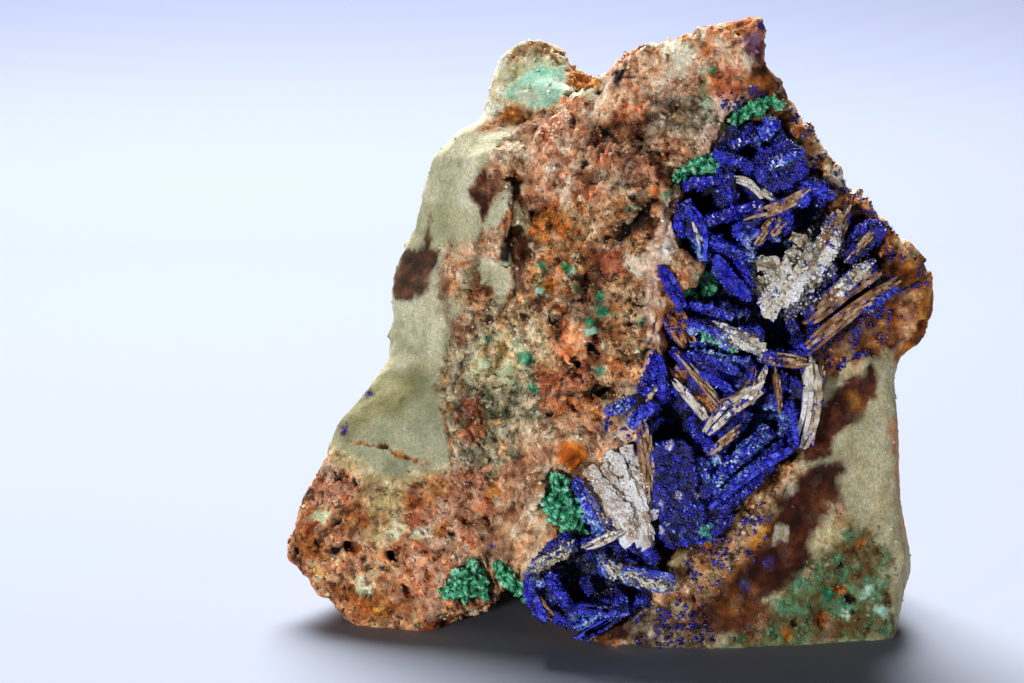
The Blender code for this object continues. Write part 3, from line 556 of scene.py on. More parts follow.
# From the broad grounds to the small ones that lie over them. Each row gives a mineral, then edge,
# stray and strength, then the corners of the outline.
PATCHES = patches_of("""
VEIN 0.8 1 1 486,110 600,70 700,20 780,90 700,200 655,300 650,420 560,560 520,625 440,625 440,440 450,330
  486,270 480,200
CREST 0.8 1.2 1 590,84 650,42 705,28 718,60 720,130 680,170 600,150
BROWN 0.8 1.2 1 584,130 625,104 650,112 664,96 700,100 716,120 690,160 648,200 600,216 565,210 562,160
GREY_BROWN 0.8 1.2 1 646,96 700,80 716,100 714,128 690,140 660,126
GREY_BROWN 0.6 1 1 600,168 630,172 632,196 604,200
UMBER 0.7 1 0.85 611,123 637,118 640,148 612,152
UMBER 0.7 1 0.8 637,150 672,146 668,178 640,178
UMBER 0.6 0.9 0.8 564,150 584,150 578,206 560,206
UMBER 0.5 0.8 0.9 580,124 602,120 604,142 584,146
WHITE 0.6 0.9 0.5 640,126 660,126 660,144 642,144
WHITE 0.6 0.9 0.85 658,60 690,60 690,82 662,84
RED 0.5 0.8 0.7 586,188 612,186 614,208 588,208
KNOB 0.5 0.8 0.8 668,44 690,42 690,60 670,62
RED 0.5 0.9 0.7 603,76 628,64 632,80 606,92
PINK 0.4 0.8 1 660,80 694,76 696,94 664,98
PINK_TAN 0.7 0.9 1 486,120 520,112 556,112 560,150 548,200 540,236 520,232 500,190 484,176
PINK 0.6 1 1 548,118 586,112 580,150 566,206 540,206 530,170
ORANGE_TAN 0.8 1 1 516,214 580,204 648,196 660,230 650,300 648,420 600,450 552,440 520,400 500,330 520,270
SPECKLE_TAN 0.7 1 1 486,300 520,290 552,330 552,370 520,400 470,400 460,350
SPECKLE 0.7 1 1 452,340 500,340 530,366 560,400 556,440 530,466 480,470 452,460 446,400
SPECKLE 0.5 0.8 0.6 580,262 606,286 600,330 588,330 584,290
UMBER 0.9 1.2 0.8 574,276 596,270 614,300 608,366 580,374 566,330
UMBER 0.8 1 0.5 592,380 618,378 620,412 596,410
RED 0.5 0.8 1 462,400 478,398 476,446 462,446
BUFF 0.7 1 1 474,334 512,330 530,352 520,384 474,384
RED 0.8 1 0.75 536,374 588,370 590,402 544,408
PEACH 0.6 0.9 0.8 543,404 600,402 614,420 560,424
PINK_TAN 0.6 0.9 0.8 508,430 556,420 560,450 520,470
RED 0.6 0.9 1 459,484 500,476 522,484 530,512 500,524 470,516
FOOT_PINK 0.6 0.9 1 452,462 500,470 480,500 474,560 460,600 440,600 440,500
PINK_TAN 0.6 0.8 1 500,470 548,430 600,440 560,520 530,580 500,590 474,570 486,524
PEACH 0.4 0.6 1 560,326 586,326 586,352 566,362 554,348
PEACH 0.3 0.5 1 546,270 560,272 560,298 548,296
OCHRE 0.5 0.8 0.7 520,212 560,208 572,226 548,240 524,232
ORANGE_TAN 0.4 0.6 1 584,212 640,204 634,226 600,236
RED 0.4 0.5 1 596,250 624,248 622,270 598,272
PEACH 0.4 0.6 1 554,414 574,410 600,420 590,440 560,432
UMBER 0.3 0.5 0.7 586,426 600,426 604,446 592,452
CREST 0.5 0.7 1 594,434 632,428 632,452 604,476 586,466
FLAME 0.2 0.2 1 558,446 570,438 586,446 588,460 572,470 558,462
"""
# The left flank; its near-black spots and its darker sage patch are painted shade.
"""
SAGE 0.25 0.3 1 486,112 524,122 508,138 496,146 486,163 473,179 473,202 481,206 481,226 478,240 470,262
  450,300 444,340 436,384 400,384 380,390 370,330 380,270 400,230 410,150 450,110
SAGE_SHADE 1.6 0.6 0.6 418,206 452,204 470,220 466,244 430,248 414,232
PINK_TAN 0.5 0.6 0.75 440,246 478,240 472,262 456,300 440,300
PEACH 0.4 0.6 0.7 446,262 462,264 456,296 446,298
HEMATITE 0.2 0.4 0.95 392,272 400,252 413,247 423,247 429,214 432,247 442,249 437,268 430,292 412,302 392,300
HEMATITE 0.3 0.6 0.6 440,272 450,280 454,330 446,336 440,300
HEMATITE 0.15 0.2 1 488,163 490,177 479,188 481,194 494,197 493,203 482,224 480,206 470,200 468,190 476,176
SAGE 0.2 0.15 1 481,226 493,201 503,189 511,187 512,200 504,214 497,230 488,240
PINK_TAN 0.3 0.4 0.7 480,230 500,226 504,240 500,260 482,260
SAGE 0.3 0.4 0.8 516,202 530,214 528,232 514,234
SAGE 0.2 0.25 1 480,258 514,260 512,284 506,300 498,308 492,288 482,284
HEMATITE 0.25 0.35 0.9 516,236 534,234 534,246 524,262 526,292 514,296 516,262
DARK 0.12 0.1 1 501,260 502,240 508,233 514,244 514,260 508,263
DARK 0.12 0.12 1 511,183 524,179 521,194 516,202 512,230 510,228 512,198
"""
# The flat facet and the foot below it.
"""
FOOT 0.5 0.6 1 330,440 366,476 391,484 423,482 448,466 452,500 448,600 404,632 350,616 280,545 300,505
FOOT_PINK 0.5 0.7 1 324,464 346,462 362,480 360,500 330,504 318,490
FOOT_OLIVE 0.6 0.8 1 360,478 398,486 420,486 410,500 396,540 372,544 360,510
FOOT_RUST 0.6 0.8 1 404,486 444,474 446,500 430,516 406,512
FOOT_RUST 0.5 0.8 1 336,506 366,504 370,524 340,524
FOOT_RUST 0.5 0.8 1 300,524 318,520 326,556 300,556 290,540
FOOT_PINK 0.6 0.9 1 412,516 452,506 460,600 430,620 408,590
FOOT_RUST 0.6 0.9 1 330,586 366,580 400,600 396,624 352,616
FACET 0.2 0.25 1 388,372 412,364 432,384 441,408 449,421 451,462 442,468 423,477 405,483 385,478 364,471
  352,462 330,442 330,420 360,390
FACET_OLIVE 1.6 0.8 0.8 380,372 412,366 424,386 398,420 372,424 340,440 330,430 360,390
FACET_RIM 0.4 0.5 0.85 328,444 352,452 366,466 391,478 423,474 446,462 448,472 424,486 391,490 362,484 330,462
"""
# The knob, with painted shade under it.
"""
KNOB 0.35 0.4 1 484,116 488,60 540,34 606,70 606,92 560,108 520,112
PALE_GREEN 0.6 0.7 0.9 508,70 534,54 566,58 568,80 512,90
TURQUOISE 0.2 0.3 1 500,95 513,86 518,78 526,70 539,68 556,65 567,67 565,78 570,88 562,97 554,103 540,108
  529,109 521,101 512,98
WHITE 0.7 0.4 0.55 516,88 534,86 538,98 528,106 518,98
OCHRE 0.3 0.4 1 568,68 590,66 604,80 602,90 580,88 568,84
OCHRE 0.5 0.6 0.75 510,50 536,38 552,42 570,56 552,60 534,50 512,60
OCHRE 0.3 0.5 1 478,130 494,117 508,104 530,109 528,120 508,130
DARK 0.5 0.5 0.6 482,130 500,117 512,118 524,121 506,128
PALE_GREEN 0.25 0.2 1 566,94 594,87 588,98 572,99
PEACH 0.3 0.4 1 562,98 584,97 582,107 562,107
"""
# The peak, with a small spot of painted shade.
"""
PEACH 0.4 0.6 1 708,28 720,14 756,14 766,60 776,100 742,104 714,100 704,60
OCHRE 0.3 0.5 1 720,24 746,22 746,38 724,40
RED 0.5 0.6 0.85 712,64 742,62 744,94 720,98
AMBER 0.4 0.5 0.9 744,68 772,66 778,98 748,98
DARK 0.3 0.3 0.8 750,66 764,62 768,74 752,76
WHITE 0.25 0.3 0.85 718,42 744,44 744,54 720,54
CREST 0.5 0.9 0.75 704,38 744,28 746,60 706,64
VIOLET 0.4 0.8 0.7 746,30 760,28 766,52 756,62 746,50
"""
# The pale vein beside the hollow.
"""
PALE_VEIN 0.4 0.5 1 716,100 746,96 742,112 722,140 704,168 684,184 668,206 676,250 660,272 662,300 664,400
  640,430 608,440 616,420 640,390 646,330 640,280 650,236 664,206 690,160
AMBER 0.3 0.5 0.8 652,304 668,304 690,320 688,340 660,334
WHITE 0.5 0.6 0.7 622,384 640,382 642,400 624,402
GREEN 0.3 0.5 0.45 696,52 702,60 712,100 714,126 706,124 700,90
GREEN 0.2 0.3 0.9 712,162 716,166 690,182 664,200 660,196 684,178
"""
# The right rim, with painted shade below its lowest blade.
"""
RIM 0.5 0.6 1 774,96 808,108 812,146 842,154 852,184 880,208 906,232 940,270 936,330 912,360 884,360 880,330
  890,290 870,240 846,200 820,180 800,140 776,118
AMBER 0.6 0.6 1 880,262 918,258 940,280 932,330 912,362 860,360 850,340 890,318
AMBER 0.6 0.8 0.5 840,208 862,200 884,224 880,256 856,252
PINK 0.4 0.5 0.3 902,290 920,300 910,340 894,352 898,320
OCHRE 0.4 0.5 1 828,352 850,350 846,374 830,376
WALL 0.6 0.9 0.8 806,350 872,304 890,302 880,334 852,360 816,366
"""
# The lower right face, whose bands follow the edge of the hollow; the near-black patch by the base is painted
# shade.
"""
SCHIST 0.3 0.4 1 866,356 892,352 896,440 900,500 912,575 912,650 690,652 700,610 760,560 800,450 840,400
SCHIST_EDGE 0.3 0.4 1 888,420 898,420 906,510 904,540 898,500 892,450
ORANGE_TAN 0.4 0.5 1 786,440 806,450 790,490 750,530 720,580 690,610 620,612 620,580 680,566 716,530 742,492
AMBER 0.6 0.5 1 760,520 776,510 770,560 730,622 690,630 700,600 730,566
SAND 0.3 0.5 1 812,458 802,480 776,500 762,520 750,540 730,570 700,592 676,606 682,588 714,562 740,526 760,500
  790,476
PINK 0.4 0.6 1 634,580 680,574 690,590 676,606 634,600
HEMATITE 0.2 0.3 1 843,381 858,374 866,380 870,404 858,422 835,434 831,456 802,466 804,440 814,416 828,398
HEMATITE 0.3 0.35 1 796,481 811,464 841,462 848,471 839,484 842,499 831,513 816,530 809,544 812,562 794,584
  762,602 733,620 722,612 727,585 744,562 768,536 778,509 772,496
HEMATITE 0.12 0.12 1 872,361 879,377 876,396 868,402 863,389 863,374
DARK 0.5 0.6 0.7 664,604 708,596 706,620 686,628 664,622
AMBER 0.6 0.4 0.5 846,392 868,398 866,412 850,416
WHITE 0.08 0.06 0.8 775,525 789,526 787,543 780,540 772,547
WHITE 0.08 0.06 0.6 787,483 797,486 793,495 786,492
SAND 0.08 0.06 1 752,492 764,493 762,503 753,505
SAND 0.2 0.3 0.9 826,502 842,504 846,520 834,520
FACET_RIM 0.4 0.4 1 812,540 838,516 860,520 838,546 816,566
WASH 0.6 0.9 1 800,580 826,548 853,526 872,532 890,562 892,600 896,640 823,642 768,652 722,650 741,624
GREY_BROWN 0.6 0.8 1 620,606 668,600 700,624 730,640 700,652 620,652
UMBER 0.6 0.9 0.8 664,598 730,590 744,616 700,636 668,628
AMBER 0.6 0.8 0.6 706,590 730,584 736,610 706,632
FACET_RIM 0.3 0.4 0.9 672,606 690,604 692,620 676,620
OCHRE 0.3 0.3 1 592,640 610,640 610,652 592,652
UMBER 0.6 0.8 0.9 698,604 746,592 770,606 762,632 704,638
HEMATITE 0.7 0.8 0.85 700,612 728,596 762,604 758,630 712,638
AMBER 0.6 0.7 0.3 718,600 742,596 746,612 716,628
""")


@dataclass(frozen=True)
class Spot:
    """A small round feature on the front.

    Args:
        mineral: what it is made of.
        across: its middle in frame pixels.
        down: its middle in frame pixels.
        radius: in pixels.
        depth: how deep it is sunk, in millimetres; negative where it stands proud.
    """

    mineral: Mineral
    across: float
    down: float
    radius: float
    depth: float = 0.0


def spots_of(table: str) -> list[Spot]:
    """Read spots from rows of a mineral and, for each of its spots, the other fields in order."""
    return [Spot(Mineral[name], *numbers_of(word)) for name, words in rows_of(table) for word in words]


SPOTS = spots_of(
# Leached holes, sunk and painted near black as their shade.
"""
DARK 337,476,4.5,1 354,481,3,0.8 314,545,5,1 346,547,4.5,1 333,551,4,0.8 391,555,4.5,0.9 337,520,4,0.8
  298,552,3,0.6 344,589,3,0.7 367,594,5,0.9 405,589,4,0.8 362,560,3,0.6 590,347,9,1.6 573,367,9,1.6
  600,392,9,1.6 551,318,7,1.2 586,284,5,1.2 633,300,6,1 629,324,4,0.8 532,212,3.5,0.8 563,379,3,0.8
  644,350,4,0.8 452,534,4,0.6 550,412,4,0.8 849,601,5,0.7 796,624,4,0.6 853,611,3,0.5 841,566,2.5,0.4
  597,92,2.5,0.3 614,76,6,0.4 605,132,7,0.6 585,164,5,0.5
"""
# Copper stains and crystals.
"""
GREEN 541,266,5 573,270,6 541,285,5 574,288,4 604,297,6,-0.2 601,311,8,-0.2 589,323,5 600,372,5 604,398,5
  526,358,7 487,338,5 533,389,6 640,322,4 880,281,4,-0.4 712,70,4 828,594,6
PALE_GREEN 503,372,9 480,362,8 322,515,7 398,530,8 366,588,7 420,534,6
TURQUOISE 541,292,4,-0.2 589,331,5,-0.2 604,345,4,-0.2 705,533,7,-0.3 880,610,7 866,590,6 846,612,6
SPECKLE 474,455,8 492,474,6,0.4 632,208,5
SAGE 500,434,4
"""
# Azurite that has run on to the rock.
"""
VIOLET 748,588,5 766,562,4 694,626,6 656,632,6 742,560,5 344,430,5 367,394,4 762,26,4 754,88,4 486,560,3
  492,546,3 510,578,4
"""
# Single bright grains.
"""
WHITE 736,107,5,-0.3 634,262,8 658,304,6,-0.2 650,395,7 545,470,6 532,246,4 748,60,5 660,122,5
OCHRE 398,455,4.5 438,530,6 494,491,6,-0.2 430,575,4 550,285,5 820,214,6 318,572,6 382,608,6 860,545,5
  842,590,5 826,620,6 788,636,6
RED 346,497,6
""")


@dataclass(frozen=True)
class Crease:
    """A crack or overhung step, given by its line.

    Args:
        mineral: what fills it.
        width: half its width in pixels.
        depth: how deep it is.
        line: its corners in frame pixels.
    """

    mineral: Mineral
    width: float
    depth: float
    line: Outline


def creases_of(table: str) -> list[Crease]:
    """Read creases from rows that give each one's fields in order."""
    rows = [(Mineral[name], [float(word) for word in words[:2]], words[2:]) for name, words in rows_of(table)]
    return [Crease(mineral, *sizes, tuple(map(numbers_of, pairs))) for mineral, sizes, pairs in rows]


# Cracks and overhung steps; the near-black ones and the dark brown one are painted shade.
CREASES = creases_of("""
DARK 3.2 1.6 653,200 645,213 636,225 618,234 606,238
FOOT_RUST 1.3 0.35 346,441 386,447 394,453 427,464
FACET_OLIVE 1 0.2 404,398 398,408 402,398
HEMATITE 1.6 0.5 512,228 514,262 514,300
FOOT_RUST 1.5 0.3 441,408 450,440 450,466
DARK 1.4 0.4 566,94 594,86
WALL 1.4 0.5 660,300 650,340 640,352
""")

# Traces of iron warm every mineral of the rock by this much.
IRON_TINT = np.array((1.07, 0.99, 0.87))
VEIN_FOOT_X = -11.0       # where the vein's middle meets the base
VEIN_LEAN = 0.22          # its shift to the right for each millimetre up
VEIN_HALF = 12.5          # its half width through the body of the rock
FRONT_SOFT = 0.28         # how far past the edge of the view the front's minerals reach
BROAD_MM = 5.0            # spacing of the swells that vary a mineral's colour
MID_MM = 1.8              # the same for finer swells
FINE_MM = 0.6             # the same for the finest
GRAIN_MM = 0.75           # size of the grains that vary it
STRAY_MM = 2.4            # spacing of the bends in the borders of the grounds
LEAST_SHARE = 0.002       # a smaller share of a mineral isn't laid
HOLLOW_DEEP = 16.0        # how far behind its rim plane the hollow reaches
PATCH_MARGIN = 20.0       # how far past its outline a patch may stray, in pixels
CREASE_MARGIN = 12.0      # the same for a crease


@dataclass
class Reading:
    """What the rock is at some places.

    Args:
        colour: linear red, green and blue.
        relief: heights of each kind of relief, as in Relief.row.
        sunk: depth of named holes and creases.
    """

    colour: Array
    relief: Array
    sunk: Array


class MineralMap:
    """Reads the kind, colour and relief of the host rock at any place on its surface."""

    def __init__(self, points: Array, normals: Array) -> None:
        """Measure the noise that all minerals share.

        Args:
            points: places.
            normals: outward directions there.
        """
        self.points = points
        self.pixels = SIGHT.project(points)
        facing = normals @ -SIGHT.axes()[2]
        self.front = smoothstep(-FRONT_SOFT, 0.02, facing)
        self.broad = fractal(points, BROAD_MM, 11, 2)
        self.mid = fractal(points, MID_MM, 23, 2)
        self.fine = swell(points, FINE_MM, 37)
        self.grains = chips_at(points, GRAIN_MM, 41)
        self.stray = fractal(points, STRAY_MM, 53, 3)
        self.tooth = 1.2 * (self.grains.luck[:, 2] - 0.5)
        self.reading = Reading(np.zeros((len(points), 3)), np.zeros((len(points), 7)), np.zeros(len(points)))

    def colour_of(self, mix: Mix, chosen: Array) -> Array:
        """Colours of one kind of rock at the chosen places."""
        # The weights bring each kind of noise to about the same width.
        spread = (
            0.5
            + 0.65 * mix.broad * self.broad[chosen]
            + 0.65 * mix.mid * self.mid[chosen]
            + 0.5 * mix.fine * self.fine[chosen]
            + 0.8 * mix.speck * (self.grains.luck[chosen, 1] - 0.5)
        )
        return mix_colours(mix.palette, spread)

    def lay(self, mineral: Mineral, share: Array) -> None:
        """Lay a mineral over what is there.

        Args:
            mineral: the kind of rock.
            share: how much of it each place takes, from 0 to 1.
        """
        chosen = np.nonzero(share > LEAST_SHARE)[0]
        if not len(chosen):
            return
        mix, part, read = mineral.value, share[chosen], self.reading
        for values, target in (
            (self.colour_of(mix, chosen), read.colour),
            (np.tile(mix.relief.row(), (len(chosen), 1)), read.relief),
        ):
            target[chosen] += part[:, None] * (values - target[chosen])

    def near(self, corners: Outline, margin: float) -> Array:
        """Which places on the front lie in the box round some corners."""
        low = np.min(corners, axis=0) - margin
        high = np.max(corners, axis=0) + margin
        boxed = np.all((self.pixels > low) & (self.pixels < high), axis=1)
        return np.nonzero(boxed & (self.front > 0.0))[0]

    def lay_body(self) -> None:
        """Lay the kinds of rock that run through the whole body, which the sides and back show."""
        # Pairs of numbers with x, y or z are where a kind begins and where it is whole.
        x, y, z = self.points.T
        from_vein = np.abs(x - VEIN_FOOT_X - VEIN_LEAN * z) + 3.0 * self.stray + 4.0 * self.broad
        self.lay(Mineral.FLANK, np.ones(len(x)))
        self.lay(Mineral.FACET, smoothstep(-0.1, 0.3, self.broad) * 0.7)
        self.lay(Mineral.SCHIST, smoothstep(22.0, 26.0, x + 2.0 * self.stray))
        self.lay(Mineral.HEMATITE, smoothstep(0.62, 0.74, fractal(self.points, 11.0, 71, 3)) * 0.9)
        self.lay(Mineral.WASH, smoothstep(0.5, 0.8, fractal(self.points, 9.0, 83, 3)) * 0.6)
        self.lay(Mineral.VEIN, smoothstep(VEIN_HALF + 2.0, VEIN_HALF - 1.0, from_vein))
        core = smoothstep(VEIN_HALF - 5.0, VEIN_HALF - 8.0, from_vein + 4.0 * self.broad)
        self.lay(Mineral.ORANGE_TAN, core)
        self.lay(Mineral.FOOT, smoothstep(-15.0, -21.0, x + 2.0 * self.stray)
                 * smoothstep(22.0, 17.0, z + 2.0 * self.stray))
        self.lay(Mineral.FACET, smoothstep(58.0, 61.0, z + 2.0 * self.stray) * smoothstep(4.0, 8.0, y) * 0.8)
        self.lay(Mineral.RIM, smoothstep(22.0, 27.0, x + self.stray) * smoothstep(33.0, 36.0, z + self.stray)
                 * smoothstep(2.0, -3.0, y + self.stray))
        self.lay(Mineral.BROWN, smoothstep(1.2, 0.2, z) * 0.8)

    def lay_hollow(self) -> None:
        """Paint shade on the hollow's own walls, which lie behind the rim plane and face the hollow."""
        behind = FACE.depth(self.points)
        inside = outline_depth(self.pixels, HOLLOW_OUTLINE) * SIGHT.pixel_mm()
        share = smoothstep(-0.2, 0.6, inside + 0.5 * self.stray) * smoothstep(-0.5, 0.8, behind) * self.front
        self.lay(Mineral.WALL, share * (behind < HOLLOW_DEEP))

    def lay_front(self) -> None:
        """Lay the named grounds, spots and creases of the front."""
        pixel = SIGHT.pixel_mm()
        for patch in PATCHES:
            chosen = self.near(patch.outline, PATCH_MARGIN)
            inside = outline_depth(self.pixels[chosen], patch.outline) * pixel
            share = np.zeros(len(self.points))
            edge = inside + patch.stray * (self.stray[chosen] + 0.5 * self.fine[chosen] + self.tooth[chosen])
            share[chosen] = smoothstep(-patch.edge, patch.edge, edge) * patch.strength * self.front[chosen]
            self.lay(patch.mineral, share)
        self.lay_hollow()
        for crease in CREASES:
            chosen = self.near(crease.line, CREASE_MARGIN)
            away = line_distance(self.pixels[chosen], crease.line)
            self.sink(chosen, away, crease.width, crease.depth, crease.mineral)
        for spot in SPOTS:
            chosen = self.near([(spot.across, spot.down)], spot.radius * 2.0)
            away = np.hypot(*(self.pixels[chosen] - (spot.across, spot.down)).T)
            self.sink(chosen, away, spot.radius, spot.depth, spot.mineral)

    def sink(
        self, chosen: Array, away: Array, radius: float, depth: float, mineral: Mineral,
    ) -> None:
        """Lay a small feature and sink it, with an uneven border.

        Args:
            chosen: places near it.
            away: their distances from its middle, in pixels.
            radius: its size in pixels.
            depth: how deep it goes.
            mineral: what it is made of.
        """
        ragged = 0.5 * self.mid[chosen] + 0.6 * self.fine[chosen] + 0.9 * self.tooth[chosen]
        uneven = away * (1.0 + 0.35 * self.stray[chosen]) + radius * ragged
        # The laid mineral, a stain or a hole's painted shade, ends clearly at the radius; the bowl falls in
        # gently from outside it.
        part = smoothstep(radius * 1.08, radius * 0.86, uneven) * self.front[chosen]
        share = np.zeros(len(self.points))
        share[chosen] = part
        self.lay(mineral, share)
        bowl = smoothstep(radius * 1.35, radius * 0.2, uneven) * self.front[chosen]
        self.reading.sunk[chosen] += bowl * depth

    def read(self) -> Reading:
        """Everything about the rock at these places."""
        self.lay_body()
        self.lay_front()
        self.reading.colour *= IRON_TINT
        return self.reading


HOLLOW_OUTLINE = corners_of(
    "735,105 722,130 713,152 690,180 674,200 673,225 675,250 662,262 662,290 668,310 686,325 "
    "690,345 655,350 652,380 630,405 608,420 626,440 608,466 582,490 592,530 550,548 522,575 "
    "525,600 545,620 575,635 600,645 640,640 625,600 640,590 650,575 680,560 700,540 715,520 "
    "740,490 775,460 800,440 825,385 830,350 850,345 890,320 893,285 876,270 874,246 862,232 "
    "846,206 826,200 820,180 804,162 796,150 784,122",
)


# ---- Finishes ----


def add_node(
    tree: Tree, kind: str, settings: dict | None = None, inputs: dict | None = None,
    links: dict | None = None,
) -> bpy.types.Node:
    """Add a shader node with its settings, constant inputs and incoming links.

    Args:
        tree: the material's node tree.
        kind: the node's type name without its ShaderNode prefix.
        settings: properties to set on the node.
        inputs: constant values by input name or number.
        links: output sockets by input name or number.

    Returns:
        The new node.
    """
    node = tree.nodes.new("ShaderNode" + kind)
    for name, value in (settings or {}).items():
        setattr(node, name, value)
    for name, value in (inputs or {}).items():
        node.inputs[name].default_value = value
    for name, socket in (links or {}).items():
        tree.links.new(socket, node.inputs[name])
    return node


def per_metre(size_mm: float) -> float:
    """Texture scale that gives a pattern of this size on Object coordinates, which are in metres."""
    return 1.0 / (size_mm * MM)


def fill_ramp(node: bpy.types.Node, stops: Stops) -> bpy.types.Node:
    """Set a ramp's stops as pairs of place and grey value."""
    ramp = node.color_ramp
    while len(ramp.elements) < len(stops):
        ramp.elements.new(0.5)
    for element, (place, grey) in zip(ramp.elements, stops):
        element.position = place
        element.color = (grey, grey, grey, 1.0)
    return node


SWIRL_MM = 0.8            # spacing of the swirls that bend the crystals' straight borders
BEND_MM = 0.7             # how far the strongest swirl would bend them
GAP_MM = 1.1              # spacing of the gaps between clumps of crystals


@dataclass(frozen=True)
class Crystals:
    """Crystals of one size in a stone, some of which differ in colour.

    Args:
        size_mm: their size.
        tints: for each tint the random channel that picks its crystals, the stops of its share,
            how it is mixed in, and its linear colour.
    """

    size_mm: float
    tints: tuple[tuple[str, Stops, str, tuple[float, ...]], ...]


@dataclass(frozen=True)
class StoneFinish:
    """A mineral surface whose colour is carried by the mesh and broken up by grain and crystals.

    Args:
        name: the material's name, a real mineral's.
        rough: roughness.
        grain_mm: size of the fine grain.
        contrast: how much the grain lightens and darkens the colour.
        bump_mm: height of the grain.
        ior: index of refraction.
        gloss: specular level, where dust dulls the stone.
        crystals: its crystals, from large to small, as strong as the mesh's own grit.
        gap: colour of the gaps between them.
    """

    name: str
    rough: float
    grain_mm: float
    contrast: float
    bump_mm: float
    ior: float
    gloss: float = 0.5
    crystals: tuple[Crystals, ...] = ()
    gap: str = "#1d0f08"

    def make(self) -> bpy.types.Material:
        """Build the material."""
        material = bpy.data.materials.new(self.name)
        material.use_nodes = True
        tree = material.node_tree
        shader = tree.nodes["Principled BSDF"]
        place = add_node(tree, "TexCoord").outputs["Object"]
        colour = add_node(tree, "Attribute", {"attribute_name": "stain"}).outputs["Color"]
        # Grain: the size of the grains themselves, drawn out upright like the rock's bedding.
        upright = add_node(tree, "VectorMath", {"operation": "MULTIPLY"}, {1: (1.0, 1.0, 0.75)}, {0: place})
        grain = add_node(tree, "TexNoise", inputs={
            "Scale": per_metre(self.grain_mm), "Detail": 3.0, "Roughness": 0.7,
        }, links={"Vector": upright.outputs["Vector"]}).outputs["Fac"]
        height = grain
        if self.crystals:
            colour, height = self.mix_crystals(tree, place, colour, grain)
        spread = add_node(tree, "Math", {"operation": "MULTIPLY_ADD"}, {
            1: 0.4, 2: self.rough - 0.2,
        }, {0: grain})
        tree.links.new(spread.outputs["Value"], shader.inputs["Roughness"])
        shade = fill_ramp(add_node(tree, "ValToRGB", links={"Fac": grain}), (
            (0.32, 1.0 - self.contrast), (0.5, 1.0), (0.68, 1.0 + self.contrast),
        ))
        mixed = add_node(tree, "Mix", {"data_type": "RGBA", "blend_type": "MULTIPLY"}, {0: 1.0}, {
            6: colour, 7: shade.outputs["Color"],
        })
        tree.links.new(mixed.outputs[2], shader.inputs["Base Color"])
        shader.inputs["IOR"].default_value = self.ior
        shader.inputs["Specular IOR Level"].default_value = self.gloss
        bump = add_node(tree, "Bump", inputs={"Strength": 0.8, "Distance": self.bump_mm * MM}, links={
            "Height": height,
        })
        tree.links.new(bump.outputs["Normal"], shader.inputs["Normal"])
        return material

    def mix_crystals(
        self, tree: Tree, place: Socket, colour: Socket,
        grain: Socket,
    ) -> tuple[Socket, Socket]:
        """Break the colour up into crystals of several tints, with gaps between.

        Args:
            tree: the material's node tree.
            place: the object coordinates.
            colour: the stone's own colour.
            grain: the fine grain.

        Returns:
            The broken colour and the height for the bump.
        """
        grit = add_node(tree, "Attribute", {"attribute_name": "grit"}).outputs["Fac"]
        swirl = add_node(tree, "TexNoise", inputs={
            "Scale": per_metre(SWIRL_MM), "Detail": 2.0,
        }, links={"Vector": place})
        bent = add_node(tree, "VectorMath", {"operation": "MULTIPLY_ADD"}, {1: (BEND_MM * MM,) * 3}, {
            0: swirl.outputs["Color"], 2: place,
        })
        gaps = add_node(tree, "TexNoise", inputs={
            "Scale": per_metre(GAP_MM), "Detail": 4.0, "Roughness": 0.62,
        }, links={"Vector": place})
        steps = []
        for size in self.crystals:
            cells = add_node(tree, "TexVoronoi", inputs={"Scale": per_metre(size.size_mm)}, links={
                "Vector": bent.outputs["Vector"],
            })
            luck = add_node(tree, "SeparateColor", links={"Color": cells.outputs["Color"]})
            steps += [(luck.outputs[lane], stops, blend, tint) for lane, stops, blend, tint in size.tints]
        steps.append((gaps.outputs["Fac"], ((0.38, 0.85), (0.47, 0.0)), "MIX", linear(self.gap)))
        for source, stops, blend, tint in steps:
            chosen = fill_ramp(add_node(tree, "ValToRGB", links={"Fac": source}), stops)
            share = add_node(tree, "Math", {"operation": "MULTIPLY"}, links={
                0: chosen.outputs["Color"], 1: grit,
            })
            step = add_node(tree, "Mix", {"data_type": "RGBA", "blend_type": blend}, {7: tint}, {
                0: share.outputs["Value"], 6: colour,
            })
            colour = step.outputs[2]
        ridge = add_node(tree, "Math", {"operation": "MULTIPLY"}, links={
            0: cells.outputs["Distance"], 1: grit,
        })
        height = add_node(tree, "Math", {"operation": "SUBTRACT"}, links={
            0: grain, 1: ridge.outputs["Value"],
        })
        return colour, height.outputs["Value"]


# Iron-stained limestone, broken: matt, with a grain of a quarter of a millimetre. Clumps over a
# millimetre wide are rusty, cream or umber, and half-millimetre crystals in them dark or pale.
LIMESTONE = StoneFinish("iron_stained_limestone", 0.75, 0.26, 0.3, 0.16, 1.55, 0.15, (
    Crystals(1.5, (
        ("Red", ((0.0, 0.6), (0.24, 0.0)), "MULTIPLY", (0.55, 0.44, 0.36, 1.0)),
        ("Green", ((0.62, 0.0), (0.86, 0.8)), "MULTIPLY", (1.35, 0.88, 0.55, 1.0)),
        ("Blue", ((0.7, 0.0), (0.95, 0.25)), "MIX", linear("#dccdb4")),
    )),
    Crystals(0.5, (
        ("Red", ((0.0, 0.8), (0.32, 0.0)), "MULTIPLY", (0.46, 0.4, 0.36, 1.0)),
        ("Red", ((0.68, 0.0), (1.0, 1.0)), "MULTIPLY", (1.65, 1.62, 1.55, 1.0)),
        ("Green", ((0.7, 0.0), (0.9, 0.6)), "MULTIPLY", (1.28, 0.84, 0.55, 1.0)),
    )),
))
# Calcite and clay grains, broken from the same rock.
CALCITE = StoneFinish("calcite_grains", 0.5, 0.25, 0.2, 0.05, 1.58)
# Quartz in grains like sugar, which a little dust dulls.
QUARTZ = StoneFinish("quartz_grains", 0.48, 0.25, 0.2, 0.05, 1.55)
